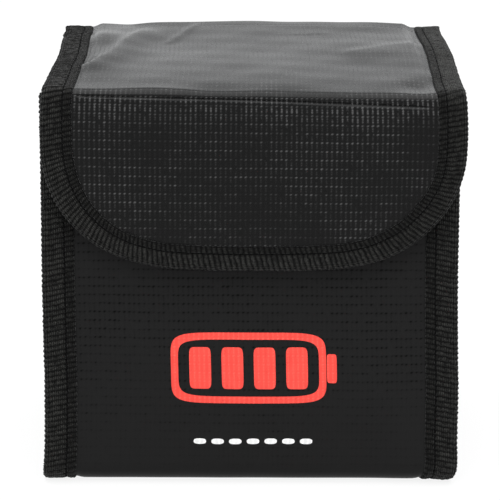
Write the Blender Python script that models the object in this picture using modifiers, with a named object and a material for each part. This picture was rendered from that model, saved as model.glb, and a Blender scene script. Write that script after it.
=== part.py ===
"""Battery safe bag: a padded cloth box with a folding lid, a closing flap and taped seams.

Units are metres and +Z is up. Sizes below are set on the bag's own datum: x = 0 and y = 0 at the
middle of the box, z = 0 at the outer face of its base cloth, with the front facing -Y. The datum
empty then lifts the bag onto its base tape and centres it over the origin.
"""

import dataclasses
import math

import bmesh
import bpy

# Overall sizes
BODY_WIDTH = 0.126
BODY_DEPTH = 0.083
BODY_HEIGHT = 0.125
LID_OVERHANG = 0.0004
FLAP_LENGTH = 0.0562
FLAP_CORNER = 0.038

# Cloth layers and the play between them
CLOTH = 0.0006
LINING = 0.0004
PAD = 0.0012
TAPE = 0.0006
GAP = 0.0003

# Folds in the cloth strip
BASE_FOLD = 0.006
BACK_FOLD = 0.0022
FRONT_FOLD = 0.004
FOLD_STEPS = 6
CORNER_STEPS = 14

# Bound seams: how far they stand out, and how far the tape laps each face
FIN = 0.007
TAPE_LAP = 0.010
FIN_LAP = 0.0062
FLAP_FOOT_LAP = 0.0078
RIM_LAP = 0.009

# Hook and loop closure
STRIP_WIDTH = 0.074
STRIP_HEIGHT = 0.020
STRIP_RISE = 0.012
HOOK = 0.0012
LOOP = 0.0012

# The two folds turn about lines just outside the tape
HINGE_CLEAR = 0.0001

# Distances inward from the outer face of the cloth
TAPE_OUT = GAP + TAPE
PAD_START = CLOTH + GAP
LINING_START = PAD_START + PAD + GAP
WALL = LINING_START + LINING
SEAM = 2 * CLOTH + GAP
LID_STACK = CLOTH + GAP + LINING
FLAP_STANDOFF = LID_STACK + GAP + HOOK + GAP + LOOP + GAP

# Places on the datum
HALF_WIDTH = BODY_WIDTH / 2
HALF_DEPTH = BODY_DEPTH / 2
HALF_LID = HALF_WIDTH + LID_OVERHANG
SIDE_FACE = HALF_WIDTH - FIN
CLOTH_EDGE = HALF_WIDTH - TAPE_OUT
RIM = BODY_HEIGHT - BACK_FOLD - GAP
CLOTH_TOP = RIM - TAPE_OUT
LID_BACK = HALF_DEPTH - BACK_FOLD - GAP
FLAP_FACE = -HALF_DEPTH - FLAP_STANDOFF
FLAP_TOP = BODY_HEIGHT - FRONT_FOLD - GAP
FLAP_FOOT = BODY_HEIGHT - FLAP_LENGTH

# The bag stands on its base tape, with its whole box centred over the origin
DATUM = (0.0, FLAP_STANDOFF / 2, TAPE_OUT)
LID_HINGE = (0.0, LID_BACK + GAP / 2, BODY_HEIGHT + TAPE_OUT + HINGE_CLEAR)
FLAP_HINGE = (0.0, FLAP_FACE - TAPE_OUT - HINGE_CLEAR, FLAP_TOP + GAP / 2)

SIDES = {"left": -1, "right": 1}


def clear_scene():
    """Removes the objects that the file opened with."""
    for item in list(bpy.data.objects):
        bpy.data.objects.remove(item, do_unlink=True)


def make_material(name, colour, roughness):
    """A Principled material with the colour and roughness of one kind of cloth."""
    material = bpy.data.materials.new(name)
    material.use_nodes = True
    shader = material.node_tree.nodes["Principled BSDF"]
    shader.inputs["Base Color"].default_value = (*colour, 1.0)
    shader.inputs["Roughness"].default_value = roughness
    shader.inputs["Metallic"].default_value = 0.0
    return material


def arc(centre, radii, start, end, steps):
    """Points along an elliptical arc, from the start angle to the end angle in degrees."""
    points = []
    for step in range(steps + 1):
        angle = math.radians(start + (end - start) * step / steps)
        points.append((centre[0] + radii[0] * math.cos(angle), centre[1] + radii[1] * math.sin(angle)))
    return points


def wall_path(inward, top, back_top=None):
    """(y, z) run down the front, under the base and up the back, set inward from the cloth's face."""
    radius = BASE_FOLD - inward
    reach = HALF_DEPTH - BASE_FOLD
    front = arc((-reach, BASE_FOLD), (radius, radius), 180, 270, FOLD_STEPS)
    back = arc((reach, BASE_FOLD), (radius, radius), 270, 360, FOLD_STEPS)
    start = (-HALF_DEPTH + inward, top)
    end = (HALF_DEPTH - inward, top if back_top is None else back_top)
    return [start, *front, *back, end]


def strip_path(inward):
    """The wall path carried on over the back fold, where the strip turns towards the lid."""
    centre = (HALF_DEPTH - BACK_FOLD, BODY_HEIGHT - BACK_FOLD)
    radius = BACK_FOLD - inward
    fold = arc(centre, (radius, radius), 0, 90, FOLD_STEPS)
    return wall_path(inward, CLOTH_TOP, back_top=centre[1])[:-1] + fold


def lid_path(inward):
    """(y, z) run forward over the lid and down round its front fold."""
    radius = FRONT_FOLD - inward
    fold = arc((FLAP_FACE + FRONT_FOLD, BODY_HEIGHT - FRONT_FOLD), (radius, radius), 90, 180, FOLD_STEPS)
    return [(LID_BACK, BODY_HEIGHT - inward), *fold]


def flap_outline(side_inset, foot_inset):
    """(x, z) run down one side of the flap, round its two big corners and up the other side."""
    centre = (HALF_LID - FLAP_CORNER, FLAP_FOOT + FLAP_CORNER)
    radii = (FLAP_CORNER - side_inset, FLAP_CORNER - foot_inset)
    edge = HALF_LID - side_inset
    left = arc((-centre[0], centre[1]), radii, 180, 270, CORNER_STEPS)
    right = arc(centre, radii, 270, 360, CORNER_STEPS)
    return [(-edge, FLAP_TOP), *left, *right, (edge, FLAP_TOP)]


def at_x(path, x):
    """Stands a (y, z) path up at one x."""
    return [(x, y, z) for y, z in path]


def at_y(outline, y):
    """Stands an (x, z) outline up at one y."""
    return [(x, y, z) for x, z in outline]


def loft(rows, close_first=False):
    """Opens a surface through matching rows of points, with a face across the first row if asked."""
    shape = bmesh.new()
    rings = [[shape.verts.new(point) for point in row] for row in rows]
    for near, far in zip(rings, rings[1:]):
        for index in range(len(near) - 1):
            shape.faces.new((near[index], near[index + 1], far[index + 1], far[index]))
    if close_first:
        shape.faces.new(rings[0])
    bmesh.ops.recalc_face_normals(shape, faces=shape.faces[:])
    return shape


def panel(outline):
    """One flat face inside an outline."""
    shape = bmesh.new()
    shape.faces.new([shape.verts.new(point) for point in outline])
    return shape


def block(low, high):
    """A box between two corners."""
    shape = bmesh.new()
    bmesh.ops.create_cube(shape, size=1.0)
    for vert in shape.verts:
        for axis in range(3):
            vert.co[axis] = high[axis] if vert.co[axis] > 0 else low[axis]
    return shape


@dataclasses.dataclass
class Carrier:
    """The empty that carries one body's parts, and its place on the datum."""

    empty: bpy.types.Object
    place: tuple


class Bench:
    """Puts finished shapes into the bag's collection, on the empty of the body that carries them."""

    def __init__(self, collection):
        self.collection = collection

    def carrier(self, name, place, location, parent=None):
        """An empty for one body, at a location under its parent's empty."""
        empty = bpy.data.objects.new(name, None)
        empty.location = location
        empty.parent = parent.empty if parent else None
        self.collection.objects.link(empty)
        return Carrier(empty, place)

    def fold(self, name, place, parent):
        """A carrier on a fold line, under the body that the fold joins it to."""
        location = [here - there for here, there in zip(place, parent.place)]
        return self.carrier(name, place, location, parent)

    def add(self, name, shape, carrier, material, thickness=None):
        """A named part from a shape on the datum, with a wall thickness if the shape is open."""
        bmesh.ops.translate(shape, vec=[-value for value in carrier.place], verts=shape.verts[:])
        mesh = bpy.data.meshes.new(name)
        shape.to_mesh(mesh)
        shape.free()
        mesh.materials.append(material)
        item = bpy.data.objects.new(name, mesh)
        item.parent = carrier.empty
        self.collection.objects.link(item)
        if thickness:
            wall = item.modifiers.new("wall", "SOLIDIFY")
            wall.thickness = thickness
            wall.offset = 0.0
            wall.use_even_offset = True
        return item


def folded_tape(outer, outer_edge, inner_edge, inner):
    """Tape folded over an edge: its outer lap, the fold and its inner lap."""
    return loft([outer, outer_edge, inner_edge, inner])


def build_walls(bench, body, cloth, felt, lining):
    """The box: one strip for front, base and back, two side panels, their felt and their lining."""
    strip = strip_path(CLOTH / 2)
    bench.add("outer_wrap", loft([at_x(strip, -CLOTH_EDGE), at_x(strip, CLOTH_EDGE)]), body, cloth, CLOTH)

    flange = wall_path(CLOTH + GAP + CLOTH / 2, CLOTH_TOP)
    side_felt = SIDE_FACE - PAD_START - PAD / 2
    side_lining = SIDE_FACE - LINING_START - LINING / 2
    for side, sign in SIDES.items():
        plate = at_x(flange, sign * (SIDE_FACE - CLOTH / 2))
        turned_edge = at_x(flange, sign * CLOTH_EDGE)
        bench.add(f"{side}_side_panel", loft([plate, turned_edge], close_first=True), body, cloth, CLOTH)
        felt_outline = at_x(wall_path(SEAM + GAP, CLOTH_TOP), sign * side_felt)
        bench.add(f"{side}_pad", panel(felt_outline), body, felt, PAD)
        lining_outline = at_x(wall_path(LINING_START, CLOTH_TOP), sign * side_lining)
        bench.add(f"{side}_side_lining", panel(lining_outline), body, lining, LINING)

    felt_edge = SIDE_FACE - PAD_START - PAD - GAP
    felt_in = HALF_DEPTH - PAD_START - PAD
    felt_out = HALF_DEPTH - PAD_START
    base_reach = HALF_DEPTH - BASE_FOLD
    felts = {
        "front_pad": ((-felt_edge, -felt_out, BASE_FOLD), (felt_edge, -felt_in, CLOTH_TOP)),
        "back_pad": ((-felt_edge, felt_in, BASE_FOLD), (felt_edge, felt_out, CLOTH_TOP)),
        "base_pad": ((-felt_edge, -base_reach, PAD_START), (felt_edge, base_reach, PAD_START + PAD)),
    }
    for name, corners in felts.items():
        bench.add(name, block(*corners), body, felt)

    lining_edge = SIDE_FACE - WALL - GAP
    inside = wall_path(LINING_START + LINING / 2, CLOTH_TOP)
    bench.add("inner_lining", loft([at_x(inside, -lining_edge), at_x(inside, lining_edge)]), body, lining, LINING)


def build_seams(bench, body, tape):
    """The tapes that bind the body: one round each side seam and one along each free edge of the mouth."""
    outside = -GAP - TAPE / 2
    fin_inside = SEAM + GAP + TAPE / 2
    edge = HALF_WIDTH - TAPE / 2
    for side, sign in SIDES.items():
        outer = wall_path(outside, RIM)
        inner = wall_path(fin_inside, RIM)
        tape_shape = folded_tape(
            at_x(outer, sign * (HALF_WIDTH - TAPE_LAP)),
            at_x(outer, sign * edge),
            at_x(inner, sign * edge),
            at_x(inner, sign * (HALF_WIDTH - FIN_LAP)),
        )
        bench.add(f"{side}_seam_tape", tape_shape, body, tape, TAPE)

    top = RIM - TAPE / 2
    foot = RIM - RIM_LAP
    rim_inside = WALL + GAP + TAPE / 2
    reach = HALF_WIDTH - TAPE_LAP - GAP
    section = [
        (-HALF_DEPTH + outside, foot),
        (-HALF_DEPTH + outside, top),
        (-HALF_DEPTH + rim_inside, top),
        (-HALF_DEPTH + rim_inside, foot),
    ]
    rows = [[(-reach, y, z), (reach, y, z)] for y, z in section]
    bench.add("front_rim_tape", folded_tape(*rows), body, tape, TAPE)

    reach = HALF_DEPTH - WALL - TAPE_OUT - GAP
    for side, sign in SIDES.items():
        section = [
            (sign * (SIDE_FACE - outside), foot),
            (sign * (SIDE_FACE - outside), top),
            (sign * (SIDE_FACE - rim_inside), top),
            (sign * (SIDE_FACE - rim_inside), foot),
        ]
        rows = [[(x, -reach, z), (x, reach, z)] for x, z in section]
        bench.add(f"{side}_rim_tape", folded_tape(*rows), body, tape, TAPE)


def build_lid(bench, lid, cloth, lining, tape):
    """The lid: the strip's next stretch, its lining and the tape along its two sides."""
    cloth_edge = HALF_LID - TAPE_OUT
    skin = lid_path(CLOTH / 2)
    bench.add("lid_panel", loft([at_x(skin, -cloth_edge), at_x(skin, cloth_edge)]), lid, cloth, CLOTH)
    inside = lid_path(CLOTH + GAP + LINING / 2)
    bench.add("lid_lining", loft([at_x(inside, -cloth_edge), at_x(inside, cloth_edge)]), lid, lining, LINING)

    edge = HALF_LID - TAPE / 2
    lap = HALF_LID - TAPE_LAP
    outer = lid_path(-GAP - TAPE / 2)
    inner = lid_path(LID_STACK + GAP + TAPE / 2)
    for side, sign in SIDES.items():
        tape_shape = folded_tape(
            at_x(outer, sign * lap), at_x(outer, sign * edge), at_x(inner, sign * edge), at_x(inner, sign * lap)
        )
        bench.add(f"lid_{side}_tape", tape_shape, lid, tape, TAPE)


def build_flap(bench, flap, cloth, lining, tape, hooks):
    """The flap: the strip's rounded end, its lining, the tape round it and the hook strip behind it."""
    cloth_outline = flap_outline(TAPE_OUT, TAPE_OUT)
    bench.add("flap_panel", panel(at_y(cloth_outline, FLAP_FACE + CLOTH / 2)), flap, cloth, CLOTH)
    lining_face = FLAP_FACE + LID_STACK - LINING / 2
    bench.add("flap_lining", panel(at_y(cloth_outline, lining_face)), flap, lining, LINING)

    edge = flap_outline(TAPE / 2, TAPE / 2)
    lap = flap_outline(TAPE_LAP, FLAP_FOOT_LAP)
    outer = FLAP_FACE - GAP - TAPE / 2
    inner = FLAP_FACE + LID_STACK + GAP + TAPE / 2
    tape_shape = folded_tape(at_y(lap, outer), at_y(edge, outer), at_y(edge, inner), at_y(lap, inner))
    bench.add("flap_tape", tape_shape, flap, tape, TAPE)

    seat = FLAP_FACE + LID_STACK + GAP
    low, high = strip_corners(seat, seat + HOOK)
    bench.add("hook_strip", block(low, high), flap, hooks)


def build_closure(bench, body, loops):
    """The loop strip on the front of the box, facing the flap's hooks."""
    seat = -HALF_DEPTH - GAP
    low, high = strip_corners(seat - LOOP, seat)
    bench.add("loop_strip", block(low, high), body, loops)


def strip_corners(near, far):
    """Corners of a closure strip between two depths."""
    foot = FLAP_FOOT + STRIP_RISE
    return (-STRIP_WIDTH / 2, near, foot), (STRIP_WIDTH / 2, far, foot + STRIP_HEIGHT)


def main():
    """Builds the bag on its datum, with the lid and flap carried by empties on their folds."""
    clear_scene()
    collection = bpy.data.collections.new("battery_safe_bag")
    bpy.context.scene.collection.children.link(collection)

    cloth = make_material("coated_grid_cloth", (0.018, 0.018, 0.018), 0.42)
    tape = make_material("ribbed_tape", (0.013, 0.013, 0.012), 0.78)
    lining = make_material("lining_cloth", (0.022, 0.022, 0.023), 0.7)
    felt = make_material("heat_felt", (0.60, 0.58, 0.54), 0.95)
    hooks = make_material("hook_tape", (0.012, 0.012, 0.012), 0.65)
    loops = make_material("loop_tape", (0.016, 0.016, 0.016), 0.9)

    bench = Bench(collection)
    body = bench.carrier("bag_body", (0.0, 0.0, 0.0), DATUM)
    lid = bench.fold("lid_fold", LID_HINGE, body)
    flap = bench.fold("flap_fold", FLAP_HINGE, lid)

    build_walls(bench, body, cloth, felt, lining)
    build_seams(bench, body, tape)
    build_closure(bench, body, loops)
    build_lid(bench, lid, cloth, lining, tape)
    build_flap(bench, flap, cloth, lining, tape, hooks)


main()
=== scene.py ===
"""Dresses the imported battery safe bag: grid cloth, bound seams, felt, lining, closure and a plain print.

Lengths are metres in the frame's own axes, with +Z up and the front facing -Y. One cloth strip runs down
the front, under the base, up the back, over the lid and down the flap. Its pieces, its tapes and its
linings are all set out on that strip as (across, run), where run is the length along it.
"""

import enum
import functools
import logging
import math
from collections.abc import Callable, Iterator
from contextlib import contextmanager
from dataclasses import dataclass, replace

import bmesh
import bpy
import numpy as np
from mathutils import Matrix, Vector


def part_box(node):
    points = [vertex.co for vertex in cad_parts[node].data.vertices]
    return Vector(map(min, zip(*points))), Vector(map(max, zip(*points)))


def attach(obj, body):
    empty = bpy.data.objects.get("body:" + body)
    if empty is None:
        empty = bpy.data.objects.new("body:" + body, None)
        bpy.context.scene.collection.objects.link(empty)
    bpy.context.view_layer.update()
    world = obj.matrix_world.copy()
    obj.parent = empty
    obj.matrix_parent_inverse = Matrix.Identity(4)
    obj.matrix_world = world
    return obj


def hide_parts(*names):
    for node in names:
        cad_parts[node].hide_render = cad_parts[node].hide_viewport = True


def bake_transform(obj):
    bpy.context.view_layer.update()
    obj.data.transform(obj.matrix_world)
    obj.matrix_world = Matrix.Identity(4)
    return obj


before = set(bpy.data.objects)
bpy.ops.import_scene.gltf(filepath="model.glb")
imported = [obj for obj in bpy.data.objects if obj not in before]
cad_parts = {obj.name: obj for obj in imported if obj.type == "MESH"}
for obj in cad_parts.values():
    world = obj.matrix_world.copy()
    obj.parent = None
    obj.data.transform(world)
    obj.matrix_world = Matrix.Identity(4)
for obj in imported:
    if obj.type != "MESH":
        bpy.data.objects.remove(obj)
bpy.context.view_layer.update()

LOG = logging.getLogger("safe_bag")
MM = 0.001
UV_NAME = "UVMap"
ARC_POINTS = 40
LEG_POINTS = 200
FRONT_POINTS = 300
CUT_POINTS = 400
TOUCHING = 1e-6
MIX_INPUTS = (0, 6, 7)
MIX_RESULT = 2

Array = np.ndarray
Pair = tuple[Array, Array]
Mesh = bpy.types.Mesh
Node = bpy.types.Node
Outputs = bpy.types.NodeOutputs
Socket = bpy.types.NodeSocket
Tree = bpy.types.NodeTree
Colour = tuple[float, float, float, float]
Point = tuple[float, float, float]
Stops = tuple[tuple[float, float], ...]
Width = Callable[[Array], Array]
Place = Callable[[Array, Array], Pair]
Track = Callable[[Array, Array, Array], Array]


class Body(enum.Enum):
    """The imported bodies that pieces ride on."""

    BAG = "bag_body"
    LID = "lid"
    FLAP = "flap"


class Slot(enum.Enum):
    """The record's material slots."""

    CLOTH = "coated_cloth"
    TAPE = "ribbed_tape"
    LINING = "lining_cloth"
    FELT = "heat_felt"
    HOOK = "hook_pile"
    LOOP = "loop_pile"
    PRINT = "front_print"


class Side(enum.Enum):
    """The two sides of the bag, by the sign of x."""

    LEFT = -1
    RIGHT = 1

    @property
    def label(self) -> str:
        """The side's name in lower case, as the nodes have it."""
        return self.name.lower()


class Held(enum.Enum):
    """How a sheet of cloth is kept in its shape."""

    STRETCHED = "stretched"
    FOLDED = "folded"


class Mark(enum.Enum):
    """Where each leg of the strip starts."""

    FRONT_RIM = enum.auto()
    FRONT_FOOT = enum.auto()
    BASE_FRONT = enum.auto()
    BASE_BACK = enum.auto()
    BACK_FOOT = enum.auto()
    BACK_TOP = enum.auto()
    LID_BACK = enum.auto()
    LID_FRONT = enum.auto()
    FLAP_TOP = enum.auto()
    FLAP_FOOT = enum.auto()


@dataclass(frozen=True)
class Layers:
    """Thicknesses of the bag's layers, the play between them, and how far the felt stops below the rim."""

    cloth: float = 0.6 * MM
    lining: float = 0.4 * MM
    pad: float = 1.2 * MM
    tape: float = 0.6 * MM
    gap: float = 0.3 * MM
    felt_drop: float = 5.0 * MM

    @property
    def tape_out(self) -> float:
        """How far a tape's face stands off the cloth under it."""
        return self.gap + self.tape

    @property
    def pad_start(self) -> float:
        """Depth of the felt below the face of the cloth."""
        return self.cloth + self.gap

    @property
    def lining_start(self) -> float:
        """Depth of the wall's lining below the face of the cloth."""
        return self.pad_start + self.pad + self.gap

    @property
    def wall(self) -> float:
        """Depth of the whole wall."""
        return self.lining_start + self.lining

    @property
    def seam(self) -> float:
        """Depth of the two cloth edges that a side seam binds."""
        return 2 * self.cloth + self.gap

    @property
    def lid(self) -> float:
        """Depth of the lid's cloth and lining."""
        return self.cloth + self.gap + self.lining


@dataclass(frozen=True)
class BagFrame:
    """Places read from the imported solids, which every dressed piece is set out from."""

    front: float
    back: float
    base: float
    top: float
    rim: float
    half_body: float
    half_lid: float
    side_face: float
    flap: float
    foot: float

    @classmethod
    def read(cls, layers: Layers) -> "BagFrame":
        """Reads the places from the frame's nodes.

        Args:
            layers: The thicknesses, for the side cloth's outer face.

        Returns:
            The bag's main places.
        """
        wrap_low, wrap_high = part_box("outer_wrap")
        _, seam_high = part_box("right_seam_tape")
        side_low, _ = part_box("right_side_panel")
        flap_low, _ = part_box("flap_panel")
        tape_low, tape_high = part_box("flap_tape")
        return cls(
            front=wrap_low.y,
            back=wrap_high.y,
            base=wrap_low.z,
            top=wrap_high.z,
            rim=seam_high.z,
            half_body=seam_high.x,
            half_lid=tape_high.x,
            side_face=side_low.x + layers.cloth,
            flap=flap_low.y,
            foot=tape_low.z,
        )


def arc(centre: tuple[float, float], radius: float, start: float, end: float) -> Array:
    """Points (y, z) on a fold round its axis, from one angle in degrees to another."""
    angle = np.radians(np.linspace(start, end, ARC_POINTS))
    return np.stack((centre[0] + radius * np.cos(angle), centre[1] + radius * np.sin(angle)), axis=-1)


def line(start: tuple[float, float], end: tuple[float, float]) -> Array:
    """Points on a straight leg between two (y, z) places."""
    return np.linspace(start, end, LEG_POINTS)


def lengths_along(points: Array) -> Array:
    """The length from the first point to each point of a row."""
    return np.concatenate(([0.0], np.cumsum(np.hypot(*np.diff(points, axis=0).T))))


def soften(values: Array, width: int) -> Array:
    """Runs a moving average over evenly spaced values and keeps their ends.

    Args:
        values: The values in order.
        width: How many values one average takes in.

    Returns:
        As many values, smoothed.
    """
    half = width // 2
    padded = np.pad(values, half, mode="reflect", reflect_type="odd")
    kernel = np.ones(2 * half + 1) / (2 * half + 1)
    return np.convolve(padded, kernel, mode="valid")


def smooth(share: Array) -> Array:
    """Eases a share from 0 to 1, level at both ends and held outside them."""
    held = np.clip(share, 0.0, 1.0)
    return held * held * (3.0 - 2.0 * held)


@dataclass(frozen=True)
class StripShape:
    """How the filled cloth stands: its folds, the lean of its front, and its width and sway on the way.

    Each row of the spread is a leg, a length along it, the share of the flat width there, and the sway to
    the right.
    """

    base_fold: float = 6.0 * MM
    back_fold: float = 2.6 * MM
    front_fold: float = 3.4 * MM
    lean: float = 4.0 * MM
    lean_height: float = 85.0 * MM
    lean_power: float = 1.2
    step: float = 0.1 * MM
    kink: int = 9
    ease: int = 81
    spread: tuple[tuple[Mark, float, float, float], ...] = (
        (Mark.FRONT_RIM, 0.0, 0.993, -0.55 * MM),
        (Mark.FRONT_RIM, 57.0 * MM, 0.998, -0.4 * MM),
        (Mark.FRONT_RIM, 78.0 * MM, 1.002, -0.05 * MM),
        (Mark.FRONT_RIM, 92.0 * MM, 1.005, 0.3 * MM),
        (Mark.FRONT_RIM, 112.0 * MM, 1.008, 0.18 * MM),
        (Mark.FRONT_FOOT, 0.0, 1.015, 0.25 * MM),
        (Mark.BASE_FRONT, -2.0 * MM, 1.008, -0.6 * MM),
        (Mark.BASE_FRONT, 2.0 * MM, 0.996, -1.1 * MM),
        (Mark.BASE_BACK, 0.0, 1.004, 0.0),
        (Mark.BACK_TOP, 0.0, 0.983, 0.0),
        (Mark.LID_BACK, 0.0, 0.956, 0.35 * MM),
        (Mark.LID_BACK, 42.0 * MM, 0.9665, 1.2 * MM),
        (Mark.LID_FRONT, 0.0, 0.98, 0.4 * MM),
        (Mark.FLAP_TOP, 0.0, 0.991, 0.43 * MM),
        (Mark.FLAP_TOP, 8.0 * MM, 0.997, 0.45 * MM),
        (Mark.FLAP_FOOT, 0.0, 0.998, 0.3 * MM),
    )


class StripPath:
    """The run of the one cloth strip round the bag, seen from the side."""

    def __init__(self, bag: BagFrame, shape: StripShape) -> None:
        """Lays the legs end to end and samples them evenly.

        Args:
            bag: The bag's places.
            shape: The folds, the lean and the widths.
        """
        self.bag = bag
        self.shape = shape
        base, back, front = shape.base_fold, shape.back_fold, shape.front_fold
        heights = np.linspace(bag.rim, bag.base + base, FRONT_POINTS)
        down = np.stack((self.front_face(heights), heights), axis=-1)
        toe = down[-1, 0]
        legs = {
            Mark.FRONT_RIM: down,
            Mark.FRONT_FOOT: arc((toe + base, bag.base + base), base, 180, 270),
            Mark.BASE_FRONT: line((toe + base, bag.base), (bag.back - base, bag.base)),
            Mark.BASE_BACK: arc((bag.back - base, bag.base + base), base, 270, 360),
            Mark.BACK_FOOT: line((bag.back, bag.base + base), (bag.back, bag.top - back)),
            Mark.BACK_TOP: arc((bag.back - back, bag.top - back), back, 0, 90),
            Mark.LID_BACK: line((bag.back - back, bag.top), (bag.flap + front, bag.top)),
            Mark.LID_FRONT: arc((bag.flap + front, bag.top - front), front, 90, 180),
            Mark.FLAP_TOP: line((bag.flap, bag.top - front), (bag.flap, bag.foot)),
        }
        points = np.vstack(list(legs.values()))
        length = lengths_along(points)
        starts = np.cumsum([0, *(len(leg) for leg in legs.values())])
        self.marks = {mark: float(length[start]) for mark, start in zip(legs, starts)}
        self.marks[Mark.FLAP_FOOT] = float(length[-1])
        length, kept = np.unique(length, return_index=True)
        self.run = np.arange(0.0, length[-1], shape.step)
        self.y = soften(np.interp(self.run, length, points[kept, 0]), shape.kink)
        self.z = soften(np.interp(self.run, length, points[kept, 1]), shape.kink)
        step_y, step_z = np.gradient(self.y), np.gradient(self.z)
        size = np.hypot(step_y, step_z)
        self.normal_y = soften(step_z / size, shape.kink)
        self.normal_z = soften(-step_y / size, shape.kink)
        stations = [self.marks[mark] + further for mark, further, _, _ in shape.spread]
        widths = np.interp(self.run, stations, [width for _, _, width, _ in shape.spread])
        sways = np.interp(self.run, stations, [sway for _, _, _, sway in shape.spread])
        self.width = soften(widths, shape.ease)
        self.sway = soften(sways, shape.ease)

    def front_face(self, height: Array) -> Array:
        """The y of the front's face at each height, leaning out towards the base."""
        low = np.clip((self.shape.lean_height - height) / self.shape.lean_height, 0.0, 1.0)
        return self.bag.front - self.shape.lean * low**self.shape.lean_power

    def read(self, values: Array, run: Array) -> Array:
        """Reads one of the path's sampled values at any run."""
        return np.interp(run, self.run, values)

    def run_on_front(self, height: Array | float) -> Array:
        """The run at a height on the front's face."""
        last = int(np.searchsorted(self.run, self.marks[Mark.BASE_FRONT]))
        return np.interp(height, self.z[:last][::-1], self.run[:last][::-1])

    def run_on_back(self, height: Array | float) -> Array:
        """The run at a height on the back's face."""
        back = slice(*np.searchsorted(self.run, (self.marks[Mark.BASE_BACK], self.marks[Mark.LID_BACK])))
        return np.interp(height, self.z[back], self.run[back])

    def run_on_lid(self, y: Array | float) -> Array:
        """The run at a depth y on the lid."""
        return self.marks[Mark.LID_BACK] + self.bag.back - self.shape.back_fold - y

    def run_on_flap(self, height: Array | float) -> Array:
        """The run at a height on the flap."""
        return self.marks[Mark.FLAP_TOP] + self.bag.top - self.shape.front_fold - height


@dataclass(frozen=True)
class Crease:
    """A raised or sunk line in the cloth, with a slope of its own on either hand.

    The course is a row of (across, along) places, where along is y on the lid and z on the front and flap.
    The line fades out over its taper at both ends.
    """

    course: Stops
    height: float
    left: float
    right: float
    taper: float = 0.0

    def lift(self, across: Array, along: Array) -> Array:
        """How far the line raises the cloth at each place.

        Args:
            across: Places across the strip.
            along: Places along it, on the course's own scale.

        Returns:
            The lift at each place.
        """
        best = np.full(across.shape, np.inf)
        hand, place, travelled = np.zeros(across.shape), np.zeros(across.shape), 0.0
        for (x0, y0), (x1, y1) in zip(self.course, self.course[1:]):
            dx, dy = x1 - x0, y1 - y0
            share = np.clip(((across - x0) * dx + (along - y0) * dy) / (dx * dx + dy * dy), 0.0, 1.0)
            off_x, off_y = across - x0 - share * dx, along - y0 - share * dy
            distance = np.hypot(off_x, off_y)
            nearer = distance < best
            best = np.where(nearer, distance, best)
            hand = np.where(nearer, dx * off_y - dy * off_x, hand)
            place = np.where(nearer, travelled + share * math.hypot(dx, dy), place)
            travelled += math.hypot(dx, dy)
        width = np.where(hand > 0, self.left, self.right)
        lift = self.height * np.exp(-((best / width) ** 2))
        if not self.taper:
            return lift
        return lift * smooth(np.minimum(place, travelled - place) / self.taper)


@dataclass(frozen=True)
class Ripple:
    """Slow waves that keep a stretched cloth from lying dead flat, each turned from the last and longer."""

    height: float
    length: float
    phase: float
    waves: int = 5
    turn: float = 2.399
    shortest: float = 0.7
    longer: float = 0.25
    offset: float = 3.1

    def lift(self, across: Array, along: Array) -> Array:
        """The sum of a few crossing waves at each place.

        Args:
            across: Places across the cloth.
            along: Places along it.

        Returns:
            The lift at each place.
        """
        total = np.zeros(np.broadcast(across, along).shape)
        for wave in range(self.waves):
            turn = self.phase + wave * self.turn
            size = 2 * math.pi / (self.length * (self.shortest + self.longer * wave))
            total += np.sin(size * (across * math.cos(turn) + along * math.sin(turn)) + self.offset * turn)
        return self.height * total / self.waves


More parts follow.
